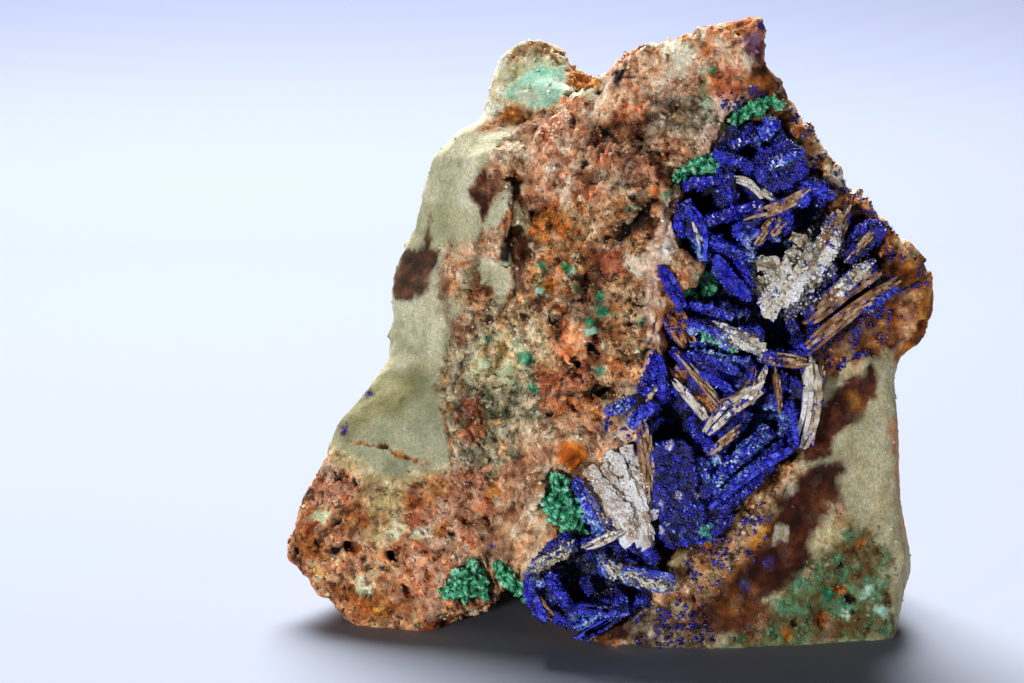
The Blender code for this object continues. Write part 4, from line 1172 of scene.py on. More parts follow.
# Azurite: vitreous, so its small faces give glints; the bed is drawn as crystals of a third of a
# millimetre, a few of them painted pale blue as glints.
AZURITE_BED = StoneFinish("azurite_crust", 0.45, 0.2, 0.4, 0.2, 1.73, 0.4, (
    Crystals(0.34, (
        ("Red", ((0.0, 0.95), (0.42, 0.0)), "MULTIPLY", (0.25, 0.25, 0.36, 1.0)),
        ("Red", ((0.7, 0.0), (1.0, 1.0)), "MULTIPLY", (2.4, 2.4, 1.7, 1.0)),
        ("Blue", ((0.94, 0.0), (0.97, 0.5)), "MIX", linear("#8fb0ff")),
    )),
), "#03030f")
AZURITE = StoneFinish("azurite_crystals", 0.28, 0.2, 0.2, 0.02, 1.78)
# Baryte: pearly cleavage faces, stained by iron, with streaks as fine as hairs.
BARYTE = StoneFinish("baryte_blades", 0.45, 0.25, 0.3, 0.1, 1.64)
# Malachite: silky tufts of needles too fine to see one by one.
MALACHITE = StoneFinish("malachite_tufts", 0.5, 0.2, 0.4, 0.1, 1.8)


# ---- Mesh helpers ----


def bake(obj: Piece) -> None:
    """Keep the shape that the object's modifiers give and drop the modifiers."""
    graph = bpy.context.evaluated_depsgraph_get()
    shaped = bpy.data.meshes.new_from_object(obj.evaluated_get(graph))
    rough = obj.data
    obj.modifiers.clear()
    obj.data = shaped
    bpy.data.meshes.remove(rough)


def add_object(name: str, mesh: Mesh) -> Piece:
    """Put a mesh into the scene at the origin."""
    obj = bpy.data.objects.new(name, mesh)
    bpy.context.scene.collection.objects.link(obj)
    return obj


def merged_copy(node: str, name: str) -> Piece:
    """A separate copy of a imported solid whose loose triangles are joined.

    Args:
        node: the solid's node.
        name: the new piece's name.

    Returns:
        The new piece.
    """
    bm = bmesh.new()
    bm.from_mesh(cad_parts[node].data)
    bmesh.ops.remove_doubles(bm, verts=bm.verts, dist=MICRON)
    mesh = bpy.data.meshes.new(name)
    bm.to_mesh(mesh)
    bm.free()
    return add_object(name, mesh)


def triangles_in(mesh: Mesh) -> int:
    """How many triangles a mesh's faces make."""
    return sum(len(poly.vertices) - 2 for poly in mesh.polygons)


def remesh(obj: Piece, grain_mm: float) -> None:
    """Give a closed mesh even faces of this size."""
    skin = obj.modifiers.new("skin", "REMESH")
    skin.mode = "VOXEL"
    skin.voxel_size = grain_mm * MM
    bake(obj)


def thin(obj: Piece, triangles: int) -> None:
    """Thin a mesh to about so many triangles, the plainest places first, still inside the box."""
    now = triangles_in(obj.data)
    if now > triangles:
        step = obj.modifiers.new("thin", "DECIMATE")
        step.ratio = triangles / now
        bake(obj)
        move_to(obj.data, places_of(obj.data))


def soften(obj: Piece, times: int) -> None:
    """Round off a mesh's sharp facets."""
    step = obj.modifiers.new("soften", "SMOOTH")
    step.factor = 0.5
    step.iterations = times
    bake(obj)


def places_of(mesh: Mesh) -> Array:
    """A mesh's vertices in millimetres."""
    flat = np.empty(len(mesh.vertices) * 3, np.float32)
    mesh.vertices.foreach_get("co", flat)
    return flat.reshape(-1, 3).astype(float) / MM


def normals_of(mesh: Mesh) -> Array:
    """A mesh's vertex normals."""
    flat = np.empty(len(mesh.vertices) * 3, np.float32)
    mesh.vertex_normals.foreach_get("vector", flat)
    return flat.reshape(-1, 3).astype(float)


def move_to(mesh: Mesh, places: Array) -> None:
    """Move a mesh's vertices to places in millimetres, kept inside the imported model's box."""
    low, high = (np.array(corner) for corner in CAD_BOX)
    inside = np.clip(places * MM, low, high)
    mesh.vertices.foreach_set("co", inside.astype(np.float32).ravel())
    mesh.update()


def carry_colour(mesh: Mesh, colours: Array) -> None:
    """Write a linear colour for each vertex to the attribute that the finishes read."""
    full = np.ones((len(mesh.vertices), 4), np.float32)
    full[:, :3] = np.clip(colours, 0.0, 1.0)
    layer = mesh.attributes.new("stain", "FLOAT_COLOR", "POINT")
    layer.data.foreach_set("color", full.ravel())


def carry_value(mesh: Mesh, name: str, values: Array) -> None:
    """Write one value for each vertex."""
    layer = mesh.attributes.new(name, "FLOAT", "POINT")
    layer.data.foreach_set("value", values.astype(np.float32))


def carry_crests(obj: Piece, spread: int, scale_mm: float) -> Array:
    """Write how far each place stands out of its surroundings, from -1 in gaps to 1 on crests.

    Args:
        obj: the piece.
        spread: how widely the surroundings are averaged, in smoothing steps.
        scale_mm: the height that counts as 1.

    Returns:
        One value for each vertex.
    """
    flat = add_object("flattened", obj.data.copy())
    soften(flat, spread)
    rise = np.einsum("ij,ij->i", places_of(obj.data) - places_of(flat.data), normals_of(obj.data))
    bpy.data.meshes.remove(flat.data)
    crest = np.clip(rise / scale_mm, -1.0, 1.0)
    carry_value(obj.data, "crest", crest)
    return crest


def shade_smooth(mesh: Mesh, smooth: bool) -> None:
    """Shade every face smooth or flat."""
    mesh.polygons.foreach_set("use_smooth", np.full(len(mesh.polygons), smooth))


def hand_over(
    obj: Piece, finish: bpy.types.Material, nodes: Sequence[str] = (),
) -> None:
    """Finish a piece: its material, its body and the solids that it stands for.

    Args:
        obj: the finished piece.
        finish: its material.
        nodes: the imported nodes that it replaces.
    """
    obj.data.materials.clear()
    obj.data.materials.append(finish)
    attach(obj, BODY)
    if nodes:
        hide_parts(*nodes)
    LOG.info("%s: %d triangles", obj.name, triangles_in(obj.data))


@dataclass
class Ground:
    """A surface to scatter small things over: its triangles' corners and areas.

    Args:
        corners: three corners of each triangle.
        normals: outward direction of each triangle.
        areas: in square millimetres.
        crests: how far each triangle stands out of its surroundings.
    """

    corners: Array
    normals: Array
    areas: Array
    crests: Array

    @classmethod
    def of(cls, mesh: Mesh) -> "Ground":
        """Read a mesh's triangles."""
        mesh.calc_loop_triangles()
        index = np.empty(len(mesh.loop_triangles) * 3, np.int32)
        mesh.loop_triangles.foreach_get("vertices", index)
        index = index.reshape(-1, 3)
        corners = places_of(mesh)[index]
        cross = np.cross(corners[:, 1] - corners[:, 0], corners[:, 2] - corners[:, 0])
        size = np.linalg.norm(cross, axis=1)
        crests = np.zeros(len(mesh.vertices), np.float32)
        if "crest" in mesh.attributes:
            mesh.attributes["crest"].data.foreach_get("value", crests)
        return cls(corners, cross / np.maximum(size, 1e-12)[:, None], size / 2, crests[index].mean(axis=1))

    @classmethod
    def joined(cls, grounds: Sequence["Ground"]) -> "Ground":
        """Several surfaces as one."""
        return cls(*(
            np.concatenate([getattr(ground, part) for ground in grounds])
            for part in ("corners", "normals", "areas", "crests")
        ))

    def raised(self, crest: float) -> "Ground":
        """The same surface with all its crests this much higher."""
        return Ground(self.corners, self.normals, self.areas, self.crests + crest)

    def middles(self) -> Array:
        """Middle of each triangle."""
        return self.corners.mean(axis=1)

    def scatter(
        self, count: int, weight: Array, rng: Chance,
    ) -> tuple[Array, Array, Array]:
        """Choose places at random, by area and weight.

        Args:
            count: how many.
            weight: a weight for each triangle.
            rng: the seeded source of chance.

        Returns:
            Places in millimetres, the outward directions and the crests there.
        """
        share = np.cumsum(self.areas * weight)
        chosen = np.searchsorted(share, rng.random(count) * share[-1])
        first, second = rng.random(count), rng.random(count)
        flip = first + second > 1.0
        first[flip], second[flip] = 1.0 - first[flip], 1.0 - second[flip]
        a, b, c = (self.corners[chosen, at] for at in range(3))
        places = a + first[:, None] * (b - a) + second[:, None] * (c - a)
        return places, self.normals[chosen], self.crests[chosen]


class Habit(Enum):
    """Shapes in which small crystals grow."""

    DOUBLE_POINT = "two four-sided points, base to base"
    BLOCK = "a broken block"


def habit_shape(habit: Habit) -> tuple[Array, Array]:
    """One crystal of a habit, about one unit across, as vertices and triangles."""
    bm = bmesh.new()
    if habit is Habit.BLOCK:
        bmesh.ops.create_cube(bm, size=0.8)
    else:
        bmesh.ops.create_uvsphere(bm, u_segments=4, v_segments=2, radius=0.55)
    bmesh.ops.triangulate(bm, faces=bm.faces)
    bmesh.ops.recalc_face_normals(bm, faces=bm.faces)
    bm.verts.ensure_lookup_table()
    vertices = np.array([vert.co for vert in bm.verts])
    faces = np.array([[vert.index for vert in face.verts] for face in bm.faces])
    bm.free()
    return vertices, faces


def crystal_cloud(
    name: str, habit: Habit, places: Array, upright: Array, sizes: Array, colours: Array,
    rng: Chance, jitter: float = 0.0,
) -> Piece:
    """Many small crystals as one joined mesh.

    Args:
        name: the piece's name.
        habit: the crystals' shape.
        places: their middles.
        upright: the direction in which each one points.
        sizes: rows of width, thickness and length.
        colours: linear colour of each crystal.
        rng: the seeded source of chance.
        jitter: how far each corner is moved, as a share of the size.

    Returns:
        The new piece.
    """
    shape, faces = habit_shape(habit)
    count = len(places)
    third = upright / np.linalg.norm(upright, axis=1)[:, None]
    side = np.cross(third, rng.normal(size=(count, 3)))
    side /= np.maximum(np.linalg.norm(side, axis=1), 1e-9)[:, None]
    other = np.cross(third, side)
    local = np.broadcast_to(shape, (count, *shape.shape)) * 1.0
    if jitter:
        local = local + rng.uniform(-jitter, jitter, local.shape)
    local = local * sizes[:, None, :]
    basis = np.stack((side, other, third), axis=1)
    spots = (places[:, None, :] + np.einsum("nvk,nkd->nvd", local, basis)).reshape(-1, 3)
    index = (np.arange(count)[:, None, None] * len(shape) + faces[None]).reshape(-1, 3)
    mesh = bpy.data.meshes.new(name)
    mesh.vertices.add(len(spots))
    mesh.loops.add(index.size)
    mesh.polygons.add(len(index))
    mesh.loops.foreach_set("vertex_index", index.astype(np.int32).ravel())
    mesh.polygons.foreach_set("loop_start", np.arange(0, index.size, 3, dtype=np.int32))
    mesh.update(calc_edges=True)
    move_to(mesh, spots)
    carry_colour(mesh, np.repeat(colours, len(shape), axis=0))
    return add_object(name, mesh)


# ---- The host rock ----


@dataclass
class HostRock:
    """The broken lump that holds the hollow.

    Args:
        grain_mm: size of its mesh's faces before thinning.
        softening: how often its facets are rounded off.
        triangles: most triangles that stay.
        swell_mm: spacing of its broad swells.
        block_mm: size of its large broken faces.
        chip_mm: size of its small ones.
        lump_mm: size of its rounded grains.
        rough_mm: spacing of its fine roughness, and width of its fibres.
        pore_mm: spacing of its leached pores.
        base_mm: height above the base in which the relief dies away.
        grit: how gritty each kind of relief makes the rock, in the order of Relief.row.
        least_grit: how gritty all of it is at least.
        hole_painted_shade: painted shade, how much darker the deep holes are.
        hole_mm: how deep those are.
        fibre_painted_highlight: painted highlight, how much lighter a fibre is for each millimetre that it
            stands out.
    """

    grain_mm: float = 0.32
    softening: int = 4
    triangles: int = 196000
    swell_mm: float = 6.0
    block_mm: float = 3.1
    chip_mm: float = 1.1
    lump_mm: float = 1.7
    rough_mm: float = 0.8
    pore_mm: float = 1.25
    base_mm: float = 0.8
    grit: tuple[float, ...] = (0.0, 0.6, 1.6, 1.4, 0.0, 0.5, 0.0)
    least_grit: float = 0.1
    hole_painted_shade: float = 0.62
    hole_mm: float = 0.75
    fibre_painted_highlight: float = 1.6
    piece: Piece | None = field(default=None, init=False)

    def relief_at(self, points: Array, minerals: MineralMap) -> tuple[Array, Array]:
        """Height of the relief at some places.

        Args:
            points: places.
            minerals: what the rock is there.

        Returns:
            One height for each place, and the part of it that the fibres make.
        """
        reading = minerals.reading
        # Fibres run upright and are seven times as long as they are wide.
        upright = points * (1.0, 1.0, 0.14)
        forms = (
            fractal(points, self.swell_mm, 101, 3),
            1.3 * chips_at(points, self.block_mm, 103).facets(),
            1.35 * chips_at(points, self.chip_mm, 107).facets(),
            chips_at(points, self.lump_mm, 109).lumps() - 0.4,
            fractal(points, self.rough_mm, 113, 2),
            -smoothstep(0.42, 0.12, chips_at(points, self.pore_mm, 127).near)
            * smoothstep(-0.1, 0.4, minerals.mid),
            fractal(upright, self.rough_mm, 131, 2),
        )
        total = sum(form * reading.relief[:, at] for at, form in enumerate(forms))
        return total - reading.sunk, forms[-1] * reading.relief[:, -1]

    def build(self) -> None:
        """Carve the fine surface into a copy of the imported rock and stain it."""
        piece = merged_copy("host_rock", "host_rock_surface")
        remesh(piece, self.grain_mm)
        soften(piece, self.softening)
        mesh = piece.data
        points, normals = places_of(mesh), normals_of(mesh)
        minerals = MineralMap(points, normals)
        reading = minerals.read()
        height, fibres = self.relief_at(points, minerals)
        height *= smoothstep(0.0, self.base_mm, points[:, 2])
        move_to(mesh, points + normals * height[:, None])
        # Painted shade darkens the deep holes; painted highlight lightens the fibres' ridges.
        shade = 1.0 - self.hole_painted_shade * smoothstep(0.0, self.hole_mm, -height) + self.fibre_painted_highlight * fibres
        carry_colour(mesh, reading.colour * shade[:, None])
        carry_value(mesh, "grit", np.clip(self.least_grit + reading.relief @ self.grit, 0.0, 1.0))
        thin(piece, self.triangles)
        shade_smooth(piece.data, True)
        self.piece = piece

    def dress(self) -> None:
        """Give the rock its finish and its place on the frame."""
        hand_over(self.piece, LIMESTONE.make(), ["host_rock"])


@dataclass
class RockGrains:
    """Loose-looking crystal grains that stand on the vein, the foot and the rims.

    Args:
        rock: the rock that they grow on.
        count: how many.
        smallest: smallest one.
        largest: largest one.
        tone: how much lighter or darker single grains are.
        frost: white that the lighter ones gain.
        lean: how far they lean away from upright.
        bedded: share of a grain that is sunk in.
        broken: how far its corners are moved, as a share of its size.
        seed: the seed of their scatter.
    """

    rock: HostRock
    count: int = 9500
    smallest: float = 0.2
    largest: float = 0.75
    tone: float = 0.32
    frost: float = 0.06
    lean: float = 0.5
    bedded: float = 0.12
    broken: float = 0.16
    seed: int = 5

    def build(self) -> None:
        """Scatter the grains where the rock is coarse and colour each after the rock under it."""
        rng = np.random.default_rng(self.seed)
        ground = Ground.of(self.rock.piece.data)
        middles = ground.middles()
        coarse = MineralMap(middles, ground.normals).read().relief
        # They stand on chips and lumps, not at the base, and few of them on what faces back.
        weight = np.clip(coarse[:, 2] * 4.0 + coarse[:, 3] * 1.2, 0.0, 1.5) * (middles[:, 2] > 1.0)
        weight *= np.where(ground.normals[:, 1] < 0.2, 1.0, 0.3)
        places, outward, _ = ground.scatter(self.count, weight, rng)
        minerals = MineralMap(places, outward)
        colours = minerals.read().colour
        lift = rng.normal(0.0, self.tone, (self.count, 1))
        colours = colours * np.exp(lift) + np.clip(lift, 0.0, 1.0) * self.frost
        span = self.smallest + (self.largest - self.smallest) * rng.random(self.count) ** 3.0
        sizes = span[:, None] * rng.uniform(0.5, 1.0, (self.count, 3))
        upright = outward + rng.normal(0.0, self.lean, outward.shape)
        sunk = places - outward * span[:, None] * self.bedded
        grains = crystal_cloud("rock_grains", Habit.BLOCK, sunk, upright, sizes, colours, rng, self.broken)
        hand_over(grains, CALCITE.make())


# ---- The hollow: baryte blades, azurite crust and druse ----


class BladeKind(Enum):
    """Colours of a baryte blade where no azurite covers it, from dark to light."""

    TAN = "#553219 #8a5a36 #b58a60 #d4b894"
    BROWN = "#3c2110 #6e4226 #9a6c42 #c09a70"
    WHITE = "#8f6c4c #c4ae94 #e2d8c8 #f6f2ec"
    FEATHER = "#96765a #d0c2b2 #ebe7e4 #fbfbfd"
    SUGAR = "#6e5c44 #a89878 #cfc4ac #e8e2d4"
    AMBER = "#5c2c10 #94501f #b8743c #d09a68"
    COATED = "#04041c #0a0a54 #1414a0 #2626d0 #4c5cf0"


@dataclass(frozen=True)
class Blade:
    """A baryte blade that shows on the face of the hollow.

    Args:
        kind: its look.
        start: one end in frame pixels.
        end: its other end.
        thick: thickness, or width for a blade that lies face on.
        stand: how far its near edge stands in front of the rim plane.
        deep: how far it reaches into the hollow.
        bend: how far its middle bows sideways.
        facing: whether it lies face on.
    """

    kind: BladeKind
    start: tuple[float, float]
    end: tuple[float, float]
    thick: float
    stand: float
    deep: float = 4.5
    bend: float = 0.0
    facing: bool = False


def blades_of(facing: bool, table: str) -> list[Blade]:
    """Read blades from a table.

    Args:
        facing: whether they lie face on.
        table: rows of a kind and, for each of its blades, its two ends in frame pixels, then its
            thick, stand, deep and bend.

    Returns:
        The blades.
    """
    rows = [(BladeKind[name], numbers_of(word)) for name, words in rows_of(table) for word in words]
    return [Blade(kind, row[:2], row[2:4], *row[4:], facing=facing) for kind, row in rows]


# First the blades that stand on edge, then those that lie face on.
BLADES = blades_of(False, """
TAN 743,219,806,191,1.4,2.7,4.5,-0.4 771,238,783,217,1.1,1.6 801,352,898,279,1.7,2.2,4.5,0.4
  832,252,847,210,1.1,1.6 845,262,872,232,1,1.2 674,351,723,409,1,2.2 719,401,753,367,1,2.2,4.5,-1.2
  710,452,738,426,1.1,2.5 820,366,809,442,1,1.6 774,371,778,408,0.8,2.3 761,357,804,363,1.5,2.8
  640,419,645,486,1.4,2.7 648,436,651,500,0.8,2.5,3
WHITE 731,178,762,199,1,2,4.5,0.5 757,190,774,200,0.9,2.2 692,216,700,248,0.7,2.1 826,298,868,262,1.6,3.2,2.5
  686,320,730,332,1.3,2.2 672,379,712,426,1.1,1.9 703,434,758,387,1.9,2.9,4.5,0.5
  811,358,798,450,2.3,2,4.5,0.6 764,366,748,404,0.9,2.4 584,547,622,530,1.1,2.3
BROWN 754,244,771,219,1.3,1.9 804,321,878,270,2.2,2.9,4.5,0.5 527,589,554,619,1.2,1.2
SUGAR 720,330,764,350,1.6,2.7 603,564,640,572,1.1,2.5,4.5,-0.3 630,574,676,587,1.1,2.3,4.5,-0.3
  531,569,570,547,1.2,1.5
AMBER 672,364,718,416,2.4,1.1 664,312,684,346,1.4,1.2 676,308,692,340,1.2,0.9
""") + blades_of(True, """
FEATHER 582,482,622,530,1.2,1.2,1.2,0.4 588,470,634,538,1.3,2.1,1.2,0.3 600,462,640,540,1.2,1.9,1,0.2
  606,450,640,526,1.2,1.5,1.2 616,456,645,546,1.3,2.1,1.1,0.2 624,442,646,530,1.2,1.7,1.2
  634,450,650,546,1.1,2,1.2,-0.3 642,444,653,520,0.9,1.6,1.2,-0.2 604,500,628,542,1,1.3,1
  596,482,632,530,1.4,2.6,1,0.3 834,232,814,274,0.9,3,1,0.3 812,268,782,304,1,3.2,1,-0.2
  776,284,760,304,0.8,2.8,1
SUGAR 836,220,812,258,1.6,2.1,2,0.3 824,240,792,288,1.8,2.5,2,-0.4 806,262,776,304,1.9,2.8,2,0.4
  796,250,762,284,1.4,1.7,1.8,0.5 784,284,766,316,1.8,2.3,2,-0.4 754,262,790,278,1.4,1.3,1.6,0.3
  790,236,822,252,1.1,1.5,1.6 752,280,774,300,1.2,1.6,1.6 798,292,816,268,1.4,1.9,1.8,-0.3
TAN 838,216,816,262,0.7,2.6,1.6,-0.4
WHITE 786,262,768,296,0.8,2.8,1,0.3
""")

# Blades that the azurite coats wholly. They stand closer together than the crust's own.
COATED = blades_of(False, """
COATED 711,155,753,169,1.1,2.4,3,0.3 726,147,757,136,0.9,2.2,3 755,141,775,123,1.2,2,2.5
  764,168,802,153,1,2.9,2.5,0.3 686,184,717,180,0.9,2.6,3.2 718,168,730,203,0.9,2.4,3 699,224,737,209,1,2.9,3
  684,203,703,258,0.8,2.6,3,0.8 734,212,760,203,0.8,2.7,2.5 706,242,748,258,1,2.8,2.8
  714,256,748,300,1.1,2.8,2.8,-0.3 728,250,752,286,0.8,2.5,2.6 660,266,682,312,1.2,2.4,3
  686,321,722,335,0.8,2.9,2.6 688,304,734,318,0.9,2.4,2.6 688,354,738,372,1,2.4,2.6
  696,372,730,390,0.8,2.2,2.4 803,184,832,198,1,2.2,2.4 860,312,892,290,0.8,2.6,2.2
  704,506,788,448,1.1,2.8,2.8,0.3 700,492,762,434,1,2.9,2.8 716,508,760,478,0.8,2.5,2.4
  785,400,793,448,0.9,2.8,2.8 652,352,662,396,1.2,2.3,2.8,0.3 572,478,597,516,1.2,2.2,2.6
  604,566,676,578,1,2.3,2.6 525,572,547,622,1.1,1.6,2.6,-0.5 574,606,624,612,1,2.4,2.6
  578,638,612,618,1.1,2.4,2.6 606,414,636,398,1.1,2.4,2.6 628,428,656,402,1.2,2.2,2.6,0.3
  640,394,654,362,1,2.2,2.6 690,424,712,448,0.9,2.5,2.6
""")


@dataclass
class BaryteBlades:
    """Tabular baryte crystals, each a stack of thin sheets.

    Args:
        name: the piece's name.
        blades: the crystals.
        sheets: thin sheets in each blade.
        cuts: how often a sheet is cut along its length.
        cross_cuts: how often it is cut across.
        shortest: the least length of a sheet, as a share of the blade's.
        overlap: how much thicker a sheet is than its share of the blade.
        fray: how far a sheet's edge is splintered.
        groove: depth of the grooves along a blade.
        splay: how far the sheets turn out of the blade's direction, in radians.
        crumble: how uneven granular blades are.
        stained: how strong the brown stains on the blades are.
        seed: the seed of the sheets' chance.
    """

    name: str
    blades: Sequence[Blade]
    sheets: int = 6
    cuts: int = 17
    cross_cuts: int = 5
    shortest: float = 0.75
    overlap: float = 1.5
    fray: float = 0.6
    groove: float = 0.07
    splay: float = 0.03
    crumble: float = 0.55
    stained: float = 0.75
    seed: int = 19
    piece: Piece | None = field(default=None, init=False)

    def frame_of(self, blade: Blade) -> tuple[Vector, Vector, Vector, Vector, float]:
        """Where a blade stands.

        Args:
            blade: the blade.

        Returns:
            Its middle, its directions along, across and outward, and its length.
        """
        start = FACE.seen_at(*blade.start)
        end = FACE.seen_at(*blade.end)
        out = FACE.outward()
        along = (end - start).normalized()
        across = out.cross(along).normalized()
        middle = (start + end) / 2 + out * (blade.stand - blade.deep / 2)
        return middle, along, across, out, (end - start).length

    def covers(self, points: Array, margin: float) -> Array:
        """Which places lie in or near a bare blade."""
        inside = np.zeros(len(points), bool)
        for blade in self.blades:
            middle, along, across, out, length = self.frame_of(blade)
            away = points - np.array(middle)
            inside |= (
                (np.abs(away @ np.array(along)) < length / 2 + margin * 0.3)
                & (np.abs(away @ np.array(across)) < blade.thick / 2 + margin)
                & (away @ np.array(out) > -blade.deep / 2 - margin)
                & (away @ np.array(out) < blade.deep / 2 + 2.0 * margin)
            )
        return inside

    def add_sheet(self, bm: bmesh.types.BMesh, blade: Blade, level: int, rng: Chance) -> Array:
        """Add one thin sheet of a blade.

        Args:
            bm: the mesh that grows.
            blade: the blade.
            level: which of its sheets, counted across its thickness.
            rng: the seeded source of chance.

        Returns:
            A linear colour for each new vertex.
        """
        middle, along, across, out, length = self.frame_of(blade)
        thin_way, broad_way = (out, across) if blade.facing else (across, out)
        stack, breadth = (blade.deep, blade.thick) if blade.facing else (blade.thick, blade.deep)
        sheet = bmesh.new()
        bmesh.ops.create_cube(sheet, size=1.0)
        for lane, cuts in ((0, self.cuts), (2, self.cross_cuts)):
            edges = [edge for edge in sheet.edges if abs((edge.verts[0].co - edge.verts[1].co)[lane]) > 0.5]
            bmesh.ops.subdivide_edges(sheet, edges=edges, cuts=cuts, use_grid_fill=True)
        unit = np.array([vert.co for vert in sheet.verts])
        own_length = length * rng.uniform(self.shortest, 1.0)
        slide = (length - own_length) * rng.uniform(-0.5, 0.5)
        # Where the sheet's noise is read: drawn out along the blade, in a place of the sheet's own.
        drawn = (unit[:, 0] * own_length / 4.0, np.full(len(unit), level), unit[:, 2] * breadth)
        marks = np.stack(drawn, axis=1)
        marks += rng.uniform(-50.0, 50.0, 3)
        ragged = fractal(marks * (5.0, 1.0, 0.3), 1.5, 3, 3)
        streak = swell(marks, 0.5, 7)
        # Blades thin out and narrow towards their ends.
        taper = 1.0 - 0.6 * np.abs(2.0 * unit[:, 0]) ** 4
        ends = np.abs(unit[:, 0]) > 0.49
        rims = np.sign(unit[:, 2]) * (np.abs(unit[:, 2]) > 0.49)
        lower = rng.uniform(0.0, 0.8) * (not blade.facing)
        turn = self.splay * rng.normal()
        x = unit[:, 0] * own_length + slide + ends * np.sign(unit[:, 0]) * self.fray * ragged * 1.5
        y = (level + 0.5) / self.sheets - 0.5
        y = (y * stack * 0.95 + unit[:, 1] * stack / self.sheets * self.overlap) * (0.3 + 0.7 * taper)
        y += self.groove * streak + turn * x + 0.1 * swell(marks * (0.5, 0.0, 0.0) + level * 7.3, 1.0, 9)
        if blade.kind is BladeKind.SUGAR:
            y += self.crumble * fractal(marks * (4.0, 0.0, 1.0), 1.3, 13, 3)
        z = unit[:, 2] * breadth * (0.7 + 0.3 * taper) + rims * self.fray * (ragged - lower)
        bow = blade.bend * (1.0 - (2.0 * unit[:, 0]) ** 2)
        for vert, at_x, at_y, at_z, swing in zip(sheet.verts, x, y, z, bow):
            vert.co = middle + along * at_x + thin_way * at_y + broad_way * at_z + across * swing
        bmesh.ops.recalc_face_normals(sheet, faces=sheet.faces)
        grown = bpy.data.meshes.new("sheet")
        sheet.to_mesh(grown)
        sheet.free()
        bm.from_mesh(grown)
        bpy.data.meshes.remove(grown)
        # Streaks and splinters vary the tone; one long edge, the outward one on blades that stand on edge, is
        # painted lighter as painted highlight.
        shade = 0.5 + 0.5 * streak + 0.35 * ragged + rng.uniform(-0.3, 0.3) + 0.12 * (rims > 0)
        return mix_colours(blade.kind.value, shade)

    def build(self) -> None:
        """Build every blade from its sheets."""
        rng = np.random.default_rng(self.seed)
        bm = bmesh.new()
        levels = range(self.sheets)
        colours = [self.add_sheet(bm, blade, level, rng) for blade in self.blades for level in levels]
        mesh = bpy.data.meshes.new(self.name)
        bm.to_mesh(mesh)
        bm.free()
        # The sheets were set out in millimetres, where a mesh has metres.
        places = places_of(mesh) * MM
        stain = self.stained * share_inside(SIGHT.project(places), BLADE_STAINS)
        stain *= smoothstep(-0.4, 0.2, fractal(places, 0.8, 273, 2))
        move_to(mesh, places)
        colour = np.concatenate(colours)
        carry_colour(mesh, colour + (row_of("#a67c58") - colour) * stain[:, None])
        shade_smooth(mesh, False)
        self.piece = add_object(self.name, mesh)


# Azurite's blue, near black to pale: the dark end stands for painted shade in the depths and gaps, the pale
# end for painted highlight and glints.
AZURITE_COLOURS = "#020208 #06062a #0c0c62 #1212a0 #1e1ed2 #3440f0 #6c8cff #a8c4ff"


